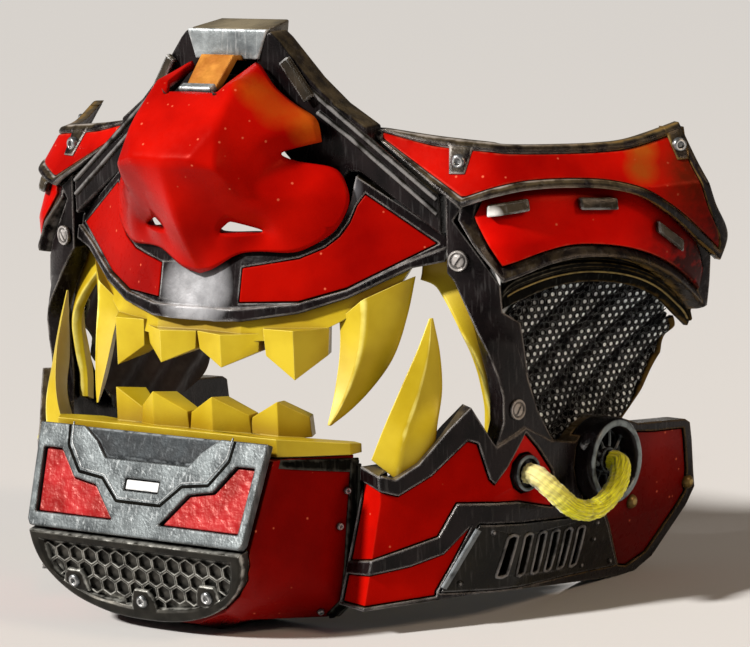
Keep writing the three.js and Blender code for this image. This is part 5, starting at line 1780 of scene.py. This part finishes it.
    def cord_shape(self) -> tuple[Shape, Array]:
        """Cord: a round section with shallow twisted strands, carried along its line with a frame that doesn't roll.

        Returns:
            The tube, and the (mm along, mm round) place of each of its points.
        """
        line = self.cord_line()
        along = unit(np.gradient(line, axis=0))
        level = unit(np.cross(along, np.array(self.cord_level)))
        third = np.cross(along, level)
        distance = np.concatenate([[0.0], np.cumsum(np.linalg.norm(np.diff(line, axis=0), axis=1))])
        around = 2.0 * np.pi * np.arange(self.cord_sides) / self.cord_sides
        ripple = self.strand_relief * np.cos(self.strands * around[None] + self.strand_twist * distance[:, None])
        slow, quick = (k * np.sin(rate * distance[:, None] + turns * around[None]) for k, rate, turns in self.wander)
        radius = (self.cord_radius * (self.cord_core + ripple + (slow + quick)))[..., None]
        ring = np.cos(around)[None, :, None] * level[:, None] + np.sin(around)[None, :, None] * third[:, None]
        shape = capped(line[:, None] + radius * ring)
        flat = np.stack(np.broadcast_arrays(distance[:, None], around[None] * self.cord_radius), -1).reshape(-1, 2)
        return shape, np.vstack([flat, [[0.0, 0.0], [distance[-1], 0.0]]])

    def build_cord(self, side: Side, fibre: bpy.types.Material) -> None:
        """Makes one cord with its own UV map.

        Args:
            side: which jaw it is on.
            fibre: the cord's material.
        """
        shape, flat = self.cord_shape()
        if side is Side.RIGHT:
            shape = shape.mirrored()
        name = f"cord_loop_{side.value}"
        mesh = mesh_of(name, shape)
        corner = np.zeros(len(mesh.loops), np.int32)
        mesh.loops.foreach_get("vertex_index", corner)
        mesh.uv_layers.new(name="cord").data.foreach_set("uv", flat[corner].astype(np.float32).ravel())
        mesh.materials.append(fibre)
        loop = bpy.data.objects.new(name, mesh)
        settled(loop, [f"cord_{side.value}"])
        line = self.cord_line() * ([-1, 1, 1] if side is Side.RIGHT else [1, 1, 1])
        line = (line + REST) * MM
        tuple(line[0])
        run_length(line)

    def build(self) -> None:
        """Makes both jaws: castings, hubs, grommets, cords and fasteners."""
        for side in Side:
            recast(f"jaw_frame_{side.value}", [GUNMETAL], bevel_mm=0.17, angle=34.0)
            for panel in ("upper", "lower", "rear"):
                finish = RED_REAR_SHADED if panel == "rear" else RED
                recast(f"jaw_panel_{panel}_{side.value}", [finish], bevel_mm=0.2)
            recast(f"jaw_vent_{side.value}", [CASTING], bevel_mm=0.4, clamp=True)
        make_pair("fan_hub", self.hub_shape(), [GLOSS], ["hub"])
        grommet = turned(self.grommet_profile, sides=28, seat=Seat.on(SKIN, *self.grommet), wear_above=1.4)
        make_pair("cord_eye", grommet, [GLOSS], ["grommet"])
        fibre = CordFibre().material()
        for side in Side:
            self.build_cord(side, fibre)
        rear = [bolt(SKIN, *place, radius=1.9, height=1.2, head=Head.DOME) for place in self.rear_bolts]
        make_pair("jaw_bolts", joined(rear), [BRONZE])
        rivets = [bolt(SKIN, s, z, self.plate_face, radius=0.9, height=0.5, head=Head.DOME) for s, z in self.rivets]
        make_pair("vent_rims", joined([*self.slot_rims(), *rivets]), [CASTING])
        flat = [(-1.0, -0.4), (-1.0, 0.1), (-0.5, 0.5), (0.5, 0.3), (0.9, -0.4)]
        make_pair("vent_edge", swept(SKIN, self.vent_edge, flat, self.plate_face), [SLATE])
        screws = [self.screw_shape(Seat.on(SKIN, *place)) for place in self.strut_screws]
        make_pair("strut_screws", joined(screws), [GUNMETAL])


@dataclass(frozen=True)
class Mouth:
    """Lips, gold linings, teeth and fangs; fang rows run root to tip as inner edge, ridge, outer edge and back edge."""

    lining_outer: Points = (
        (-25, 22.3), (-20.7, 20.9), (-17.5, 18.1), (-14, 14.5), (-10.2, 10), (-5.3, 3.9), (-1.1, -4.1), (1.9, -10.7),
        (1.3, -17.4),
    )
    lining_inner: Points = (
        (-24.5, 29.4), (-18.2, 28.6), (-12.6, 25.2), (-6.3, 18.6), (-2, 11.3), (0.4, 5), (4.2, -3), (6.2, -11),
        (5.6, -18.6),
    )
    lining_depth: Pair = (-9.9, -7.0)
    ridge_width: float = 0.03
    upper_fang: tuple[Points, ...] = (
        ((36.6, -63.6, 13), (44, -63.4, 18.4), (53.2, -52.6, 23.4), (44, -53.5, 18)),
        ((37, -64, 10), (44.2, -64, 12), (51.4, -54, 14), (44, -55.5, 11)),
        ((37.7, -65.3, 5.4), (44, -65.4, 5.6), (48.2, -57.6, 2), (43, -58.5, 3)),
        ((38.2, -68, -2.4), (42.6, -68, -2.6), (45.3, -62.4, -4.4), (41.4, -63, -3.8)),
        ((38.4, -70.8, -9), (40.6, -70.6, -9.2), (41.8, -67.8, -9.8), (39.8, -68, -9.6)),
        ((38.3, -72.5, -12.8), (38.9, -72.4, -12.9), (39.1, -71.9, -12.9), (38.6, -71.9, -12.8)),
    )
    lower_fang: tuple[Points, ...] = (
        ((51.4, -72, -20.7), (58.2, -71.2, -25.2), (64.2, -62.4, -19.6), (55.8, -62.6, -21.2)),
        ((54.2, -70.9, -13.7), (59.6, -69.7, -15.9), (64.8, -61.7, -12.9), (58, -62.3, -13.8)),
        ((57.9, -66, -1.3), (61.3, -63.8, -3.5), (63.9, -57.8, -4.3), (59.5, -59, -3.1)),
        ((59.5, -61.6, 6.5), (61.7, -60, 5.7), (62.9, -56.8, 5.3), (60.5, -57.4, 5.9)),
        ((60.5, -57.6, 13.8), (61, -57.3, 13.8), (61.2, -56.8, 13.8), (60.7, -56.8, 13.8)),
    )

    def fang_shape(self, rows: tuple[Points, ...]) -> Shape:
        """Fang: smooth runs from root to tip through each edge, closed round by a curve with a crisp front ridge.

        Args:
            rows: sections from root to tip, four points each.

        Returns:
            The closed fang.
        """
        edges = np.swapaxes(np.asarray(rows, float), 0, 1)
        share = np.linspace(0.0, 1.0, 34)
        runs = np.stack([run_through(edge, share) for edge in edges], 1)
        loop = np.concatenate([runs, runs[:, :1]], 1)
        around = np.linspace(0.0, 1.0, 33)[:-1]
        knots = np.array([0.0, 0.27, 0.58, 0.8, 1.0])
        flat = np.swapaxes(loop, 0, 1).reshape(5, -1)
        rings = run_through(flat, around, (1,), knots).reshape(len(around), len(share), 3)
        ridge = np.exp(-(((around - knots[1]) / self.ridge_width) ** 2))
        return capped(np.swapaxes(rings, 0, 1), np.tile(ridge, len(share)))

    def lining_shape(self) -> Shape:
        """Gold lining of the mouth corner, ruled between its two edges."""
        return plate(SKIN, Patch.between(self.lining_outer, self.lining_inner), *self.lining_depth, edge=0.8)

    def build(self) -> None:
        """Makes the lips, linings, teeth and fangs."""
        recast("lip_frame", [GUNMETAL_LIP], bevel_mm=0.55, angle=34.0, clamp=True)
        for side in Side:
            recast(f"lip_panel_{side.value}", [RED_LIP], bevel_mm=0.3)
        recast("upper_teeth", [GOLD], bevel_mm=0.4, angle=22.0, clamp=True)
        recast("lower_teeth", [GOLD], bevel_mm=0.16, angle=22.0, sink=(-10.2, -8.2, 1.9))
        make_pair("gold_lining", self.lining_shape(), [GOLD], ["mouth_lining"])
        make_pair("fang_upper", self.fang_shape(self.upper_fang), [GOLD], ["upper_fang"], sharp=50.0)
        make_pair("fang_lower", self.fang_shape(self.lower_fang), [GOLD], ["lower_fang"], sharp=50.0)


@dataclass(frozen=True)
class Nose:
    """Faceted nose: named corners of one half and the facets that join them."""

    corners: dict[str, Triple] = field(
        default_factory=lambda: {
            "m0": (0, -60.2, 78), "m1": (0, -73.6, 71.2), "m2": (0, -82.6, 64), "m3": (0, -89, 55.2),
            "m4": (0, -82.4, 36.4), "m5": (0, -74, 24.2), "e0": (12.2, -60.4, 77.2), "e1": (13, -71.8, 74),
            "e2": (14, -82, 63.8), "t": (9.2, -88.8, 55.3), "s": (16, -86.2, 53.4), "k0": (10.4, -60.4, 77.6),
            "k1": (9.8, -71.4, 73.4), "k2": (8.1, -74.2, 71.0), "a1": (17, -61.6, 71.6), "a2": (23.6, -61, 67),
            "u": (30.3, -60.6, 64), "u2": (30.9, -60.4, 57.8), "b": (21.2, -74.2, 60.8), "n": (22.4, -69.6, 55.7),
            "l": (20, -79.2, 45.8), "w0": (26, -64.2, 52.8), "w1": (35.6, -59.2, 51.6), "w2": (39.2, -59.4, 43),
            "w3": (36.2, -62.8, 35), "w4": (27.6, -68.2, 29.8), "w5": (18.7, -71.4, 30.6), "w6": (31.5, -67, 45),
            "q": (24, -73, 39), "n1": (8.2, -76.8, 35.4), "n2": (12.4, -76.2, 38.6), "n3": (21.1, -70, 35.5),
            "v": (13, -75.8, 34.7), "p": (5.2, -75, 25.6), "p2": (12.6, -73.6, 30.2),
        }
    )
    facets: tuple[str, ...] = (
        "m1 m2 e2 e1 k2", "m2 m3 t e2", "k0 k1 e1 e0", "k1 k2 e1", "e2 t s", "m3 m4 n1 n2 t", "t n2 l s",
        "m4 m5 p n1", "e0 e1 a1", "e1 a2 a1", "e1 b u a2", "e1 e2 b", "e2 s l b", "b n u2 u", "b l n", "n l w6 w0",
        "w0 w6 w1", "w1 w6 w2", "l q w6", "w6 q w3", "w6 w3 w2", "q w4 w3", "l n2 n3 q", "q n3 w5 w4", "n1 p p2 v",
        "v p2 w5 n3",
    )
    ridges: tuple[str, ...] = (
        "k1 e1", "e1 e2", "e2 s", "e2 t", "s t", "t m3", "e1 k2", "s l", "t n2", "k0 k1", "k1 k2", "m3 m4", "m4 m5",
    )
    crisp: float = 0.97
    soft: float = 0.25
    wall_mm: float = 2.2

    def build(self) -> None:
        """Makes the nose: the facets and their mirror image, softened at their edges and given a wall inward."""
        names = list(self.corners)
        half = np.array([self.corners[name] for name in names], float)
        numbers = [[names.index(name) for name in facet.split()] for facet in self.facets]
        middle = np.abs(half[:, 0]) < 1e-6
        own = np.arange(len(half))
        twin = np.where(middle, own, own + len(half))
        both = np.vstack([half, half * [-1, 1, 1]])
        faces = numbers + [[int(twin[i]) for i in reversed(facet)] for facet in numbers]
        mesh = bpy.data.meshes.new("oni_nose")
        mesh.from_pydata(((both + REST) * MM).tolist(), [], faces)
        work = bmesh.new()
        work.from_mesh(mesh)
        work.verts.index_update()
        sharp = {frozenset(int(w[names.index(n)]) for n in ridge.split()) for ridge in self.ridges for w in (own, twin)}
        crease = work.edges.layers.float.new("crease_edge")
        for edge in work.edges:
            ridge = frozenset(v.index for v in edge.verts) in sharp
            edge[crease] = 1.0 if edge.is_boundary else self.crisp if ridge else self.soft
        for face in work.faces:
            face.smooth = True
        bmesh.ops.delete(work, geom=[v for v in work.verts if not v.link_faces], context="VERTS")
        bmesh.ops.recalc_face_normals(work, faces=work.faces)
        work.to_mesh(mesh)
        work.free()
        mesh.materials.append(RED_NOSE.material())
        mesh.materials.append(INSIDE.material())
        piece = bpy.data.objects.new("oni_nose", mesh)
        soft = piece.modifiers.new("soft_edges", "SUBSURF")
        soft.levels = soft.render_levels = 3
        wall = piece.modifiers.new("wall", "SOLIDIFY")
        wall.thickness = self.wall_mm * MM
        wall.offset = -1.0
        wall.material_offset = 1
        settled(piece, ["nose"])


@dataclass(frozen=True)
class Bracket:
    """Brow bracket with the ridges along its legs, its clips and the copper tab; columns are x and z, or v."""

    ridges: tuple[Points, ...] = (((24, 71.2), (33, 64.2), (60.2, 43.3)), ((27, 64.8), (36, 58.6), (60.2, 39.6)))
    bridge_low: Points = ((-10.2, 7.8), (10.2, 7.8))
    bridge_high: Points = ((-13.2, 0.1), (13.2, 0.1))
    slot_floor: Points = ((-8, 14.6), (8, 14.6), (-10, 0.5), (10, 0.5))
    slot_back: Points = ((-12, 12), (12, 12), (-12, 0), (12, 0))
    foot: Points = ((-5.2, 13.2), (5.2, 13.2), (-5.2, 10.8), (5.2, 10.8))
    # Corners of the dark sheet behind the nose's wing, which paints the shade there.
    shade_sheet: Points = ((29, 36), (46, 39), (29, 54), (46, 51))
    ridge_half: float = 0.55
    ridge_out: float = 0.7

    def build(self) -> None:
        """Makes the bracket, its ridges, clips and tab."""
        recast("brow_bracket", [GUNMETAL_BROW], bevel_mm=0.6)
        foot_half, top_half = self.ridge_half * 1.6, self.ridge_half * 0.5
        half = [(foot_half, -0.5), (foot_half, 0.0), (top_half, self.ridge_out)]
        profile = [(-x, d) for x, d in half] + half[::-1]
        ridges = [swept(LEG, path, profile, base=0.0, sharp=(1,)) for path in self.ridges]
        make_pair("leg_ridges", joined(ridges), [CASTING])
        front = Patch.between(self.bridge_low, self.bridge_high)
        make_piece("bridge_face", plate(BRIDGE_SLOPE, front, back=-1.4, face=0.3, edge=0.5), [PEWTER])
        floor, screen, foot, shade = (
            Patch.between(edges[:2], edges[2:]) for edges in (self.slot_floor, self.slot_back, self.foot, self.shade_sheet)
        )
        dark = plate(SLOT_SLOPE, floor, back=-2.6, face=-1.8, edge=0.2)
        rear = plate(SLOT_SCREEN, screen, back=-0.8, face=0.0, edge=0.2)
        make_piece("slot_floor", joined([dark, rear]), [ENAMEL])
        make_piece("tab_foot", plate(SLOT_SLOPE, foot, back=-0.4, face=1.6, edge=0.4), [PEWTER])
        # Dark sheet behind the nose's wing: painted shade between the nose and the bracket's leg.
        make_pair("nose_shade_sheet", plate(LEG, shade, back=-4.2, face=-3.2, edge=0.3), [ENAMEL, INSIDE])
        for side in Side:
            recast(f"bracket_clip_{side.value}", [CLIP], bevel_mm=0.4)
        recast("nose_tab", [COPPER, ENAMEL], bevel_mm=0.3)


@dataclass(frozen=True)
class Chin:
    """Chin box with its pewter plate, inserts, light bar and honeycomb grille; columns are x and v down the slope."""

    grille: Points = ((35, 0.6), (34.6, 4.5), (33.2, 8.6), (30, 12.8), (25, 16.8), (15.5, 20.6), (0, 22.3))
    recess: Points = ((30.9, 3.2), (30, 8), (28.4, 11.6), (24, 14.4), (17, 17), (9, 18.2), (0, 18.7))
    recess_depth: float = 1.5
    thick: float = 3.6
    floor_gap: float = 0.05
    floor_drop: float = 0.7
    pitch: float = 4.6
    cell_wall: float = 0.5
    comb_start: float = 2.4
    comb_rows: int = 7
    comb_reach: int = 8
    comb_lip: float = 0.12
    comb_rise: float = 0.4
    comb_heights: tuple[float, ...] = (0.0, 0.0, -0.15, -1.2)
    comb_wear: tuple[float, ...] = (0.3, 1.0, 0.6, 0.0)
    tabs: Points = ((-22, 13.4), (0, 16.8), (22, 13.4))
    tab_reach: Pair = (5.0, 2.8)
    tab_side: Points = ((2.2, -3.0), (3.4, -1.2))
    tab_foot: float = 4.2
    groove: Points = ((27.3, 0.2), (26.6, 5.4), (21.4, 12.0), (13.2, 13.0), (7.2, 18.5), (0, 18.5))
    step_draw: Pair = (0.965, -0.9)
    field_side: Points = ((13.6, 7.5), (17.6, 3.4), (22.4, 0.15))
    trim_end: float = 21.4
    trim_bolts: Points = ((18.6, -28.0), (17.4, -37.4), (16.6, -57.6))

    def mirrored_run(self, half: Points) -> list[Pair]:
        """A half outline from the right edge to the middle, followed by its mirror image."""
        other = [(-x, v) for x, v in half if abs(x) > 1e-6][::-1]
        return [*half, *other]

    def rim_shape(self) -> Shape:
        """Frame of the grille, ruled between its outline and its recess.

        Returns:
            The closed frame.
        """
        outer, inner = self.mirrored_run(self.grille), self.mirrored_run(self.recess)
        relief = ((0.0, -0.3), (0.2, 0.0), (0.7, 0.0), (0.85, -0.4), (1.0, -0.7))
        loop = Loop(outer, inner, (0, len(outer) - 1))
        return framed(GRILLE_SLOPE, loop, -self.thick, face=0.0, edge=0.5, relief=relief)

    def honeycomb_shape(self) -> Shape:
        """Honeycomb: rings of six quads round each cell, flat on top and straight down to the floor.

        Returns:
            All cells.
        """
        outline = np.asarray(self.mirrored_run(self.recess), float)
        cols = np.arange(-self.comb_reach, self.comb_reach + 1)
        spots = lattice(np.arange(self.comb_rows), cols, self.pitch, self.comb_start)
        spots = spots[inside_outline(spots, outline)]
        outer = self.pitch / math.sqrt(3.0)
        hole = outer - self.cell_wall
        radii = np.array([outer, hole + self.comb_lip, hole, hole])
        heights = np.array(self.comb_heights) - self.recess_depth + self.comb_rise
        cells = six_sided(GRILLE_SLOPE, spots, radii, heights)
        cells.wear = np.tile(np.repeat(self.comb_wear, CELL_SIDES), len(spots))
        return cells

    def floor_shape(self) -> Shape:
        """Dark floor under the honeycomb, a Coons patch a little wider than the recess.

        Returns:
            The closed floor.
        """
        low = [(-31.5, 3.0), (31.5, 3.0)]
        high = [(-24, 15), (-12, 18.4), (0, 19), (12, 18.4), (24, 15)]
        patch = Patch(low, high, [low[0], (-29.5, 10), high[0]], [low[-1], (29.5, 10), high[-1]])
        back, face = -self.thick + self.floor_gap, -self.recess_depth - self.floor_drop
        return plate(GRILLE_SLOPE, patch, back, face, edge=0.1, step=3.0)

    def tab_shapes(self) -> list[Shape]:
        """Tabs that carry the grille's bolts.

        Returns:
            The tabs.
        """
        made = []
        for x, v in self.tabs:
            reach = self.tab_reach[0 if x == 0 else 1]
            patch = Patch.centred((*self.tab_side, (self.tab_foot, reach)), x, v)
            made.append(plate(GRILLE_SLOPE, patch, back=-2.2, face=-0.1, edge=0.5, step=0.9))
        return made

    def build(self) -> None:
        """Makes the chin and its fasteners."""
        recast("chin_box", [RED_SHADED_BOX], bevel_mm=0.2)
        recast("chin_plate", [PEWTER_DARK], bevel_mm=0.4)
        for side in Side:
            recast(f"chin_insert_{side.value}", [RED_ROUGH], bevel_mm=0.3)
        recast("chin_light", [WHITE], bevel_mm=0.3)
        make_piece(
            "grille_frame", joined([self.rim_shape(), *self.tab_shapes()]), [COMB_DARK], ["chin_grille"],
        )
        make_piece("grille_honeycomb", self.honeycomb_shape(), [COMB], sharp=30.0)
        make_piece("grille_floor", self.floor_shape(), [COMB])
        bolts = [bolt(GRILLE_SLOPE, x, v, base=-0.1, radius=1.7, height=0.9, head=Head.SOCKET) for x, v in self.tabs]
        make_piece("grille_bolts", joined(bolts), [ZINC])
        path = self.mirrored_run(self.groove)
        flat = [(-0.42, -0.3), (-0.42, 0.06), (0.42, 0.06), (0.42, -0.3)]
        ridge = [(-0.17, -0.3), (-0.17, 0.08), (0.0, 0.2), (0.17, 0.08), (0.17, -0.3)]
        make_piece("plate_groove", swept(CHIN_SLOPE, path, flat, base=0.0, sharp=(-1,)), [GROOVE_BLACK])
        draw, lift = self.step_draw
        inner = [(x * draw, v + lift) for x, v in path]
        make_piece("plate_step", swept(CHIN_SLOPE, inner, ridge, base=0.0, sharp=(-1,)), [PEWTER_DARK])
        make_piece("plate_field", self.field_shape(), [SLATE])
        self.build_trim()

    def field_shape(self) -> Shape:
        """Sunken field at the top of the plate, a thin Coons patch on the floor of its recess."""
        return plate(CHIN_SLOPE, Patch.centred(self.field_side), back=-1.3, face=-1.05, edge=0.1)

    def build_trim(self) -> None:
        """Makes the black trim along the top and the rear of the box, with its bolts."""
        end = self.trim_end
        top = Patch.between(((-0.8, -20.6), (end, -23.4)), ((-0.8, -18.5), (end, -19.5)))
        rear = Patch.across(
            ((end - 2.6, -60.5), (end - 2.4, -40), (end - 2.2, -20)), ((end, -60), (end, -40), (end, -20))
        )
        strips = [plate(BOX_SIDE, patch, back=-0.5, face=out, edge=0.3) for patch, out in ((top, 0.35), (rear, 0.6))]
        bar = [(-0.4, -0.5), (-0.4, 0.3), (0.4, 0.3), (0.4, -0.5)]
        edge = swept(BOX_SIDE, ((end, -21), (end, -40), (end, -59)), bar, base=0.6)
        make_pair("box_trim", joined([*strips, edge]), [TRIM])
        bolts = [bolt(BOX_SIDE, u, z, base=0.5, radius=0.9, height=0.6, head=Head.SOCKET) for u, z in self.trim_bolts]
        make_pair("box_bolts", joined(bolts), [ZINC])


# ---- stage ----


class Lamp(Enum):
    """Even light from one side, which lights the whole floor alike, or a square soft light."""

    SUN = "SUN"
    SOFT_BOX = "AREA"


@dataclass(frozen=True)
class Studio:
    """Camera at the photograph's angle, a pale floor and soft light."""

    azimuth: float = 37.0
    elevation: float = 9.0
    roll: float = -2.228
    focal_px: float = 3767.8
    image_px: float = 750.0
    distance_mm: float = 1032.3
    floor_mm: float = 4000.0

    def camera_axes(self) -> Array:
        """Rows right, up and back of the camera.

        Returns:
            Three unit rows.
        """
        a, e, r = (math.radians(t) for t in (self.azimuth, self.elevation, self.roll))
        back = np.array([math.sin(a) * math.cos(e), -math.cos(a) * math.cos(e), math.sin(e)])
        level = np.array([math.cos(a), math.sin(a), 0.0])
        up = np.cross(back, level)
        right = level * math.cos(r) + up * math.sin(r)
        return np.stack([right, up * math.cos(r) - level * math.sin(r), back])

    def build_camera(self) -> None:
        """Sets the camera so that the face frame's origin is in the middle of the picture."""
        data = bpy.data.cameras.new("photo_camera")
        data.sensor_width = 36.0
        data.lens = self.focal_px * data.sensor_width / self.image_px
        data.clip_start, data.clip_end = 0.01, 50.0
        camera = bpy.data.objects.new("photo_camera", data)
        axes = self.camera_axes()
        place = (REST + axes[2] * self.distance_mm) * MM
        camera.matrix_world = Matrix.Translation(Vector(place)) @ Matrix(axes.T.tolist()).to_4x4()
        bpy.context.scene.collection.objects.link(camera)
        bpy.context.scene.camera = camera

    def build_light(
        self, name: str, lamp: Lamp, toward: Triple, colour: str, metres: float, **settings: float
    ) -> None:
        """Adds a light that looks at the mask.

        Args:
            name: the light's name.
            lamp: which kind of light.
            toward: its direction from the mask along the camera's right, up and back.
            colour: its colour.
            metres: its distance.
            settings: its power, and its side in metres or its width in radians.
        """
        data = bpy.data.lights.new(name, lamp.value)
        data.color = linear(colour)[:3]
        for key, value in settings.items():
            setattr(data, key, value)
        direction = unit(np.asarray(toward) @ self.camera_axes())
        turn = Vector(direction).to_track_quat("Z", "Y").to_matrix().to_4x4()
        light = bpy.data.objects.new(name, data)
        light.matrix_world = Matrix.Translation(Vector(REST * MM + direction * metres)) @ turn
        bpy.context.scene.collection.objects.link(light)

    def build(self) -> None:
        """Makes the camera, lights, world and floor."""
        self.build_camera()
        width = math.radians(6.0)
        self.build_light("key", Lamp.SUN, (-1.05, 0.68, 0.5), "#fffaf4", metres=0.0, energy=6.0, angle=width)
        self.build_light("fill", Lamp.SOFT_BOX, (0.95, 0.6, 0.75), "#ffe0c0", metres=1.4, energy=5.8, size=0.3)
        world = bpy.data.worlds.new("studio")
        world.use_nodes = True
        sky = world.node_tree.nodes["Background"].inputs
        sky["Color"].default_value, sky["Strength"].default_value = linear("#f4f3f1"), 0.12
        bpy.context.scene.world = world
        bpy.context.scene.view_settings.view_transform = "Standard"
        half = self.floor_mm * MM
        mesh = bpy.data.meshes.new("floor")
        mesh.from_pydata([(-half, -half, 0), (half, -half, 0), (half, half, 0), (-half, half, 0)], [], [(0, 1, 2, 3)])
        paper = Paint(
            "pale_paper", ("#c6c5c4", "#c6c5c4"), "#d8d7d4", "#ffffff", patch_mm=90.0, recess_shade_depth=0.0, bump=0.0,
            roughness=(0.8, 0.9),
        )
        mesh.materials.append(paper.material())
        floor = bpy.data.objects.new("floor", mesh)
        bpy.context.scene.collection.objects.link(floor)


def main() -> None:
    """Builds the stage and the mask, piece by piece."""
    logging.basicConfig(level=logging.INFO, format="%(name)s: %(message)s")
    Studio().build()
    for assembly in (Cheek(), Vent(), Jaw(), Mouth(), Nose(), Bracket(), Chin()):
        log.info("building %s", type(assembly).__name__)
        assembly.build()


if __name__ == "__main__":
    main()
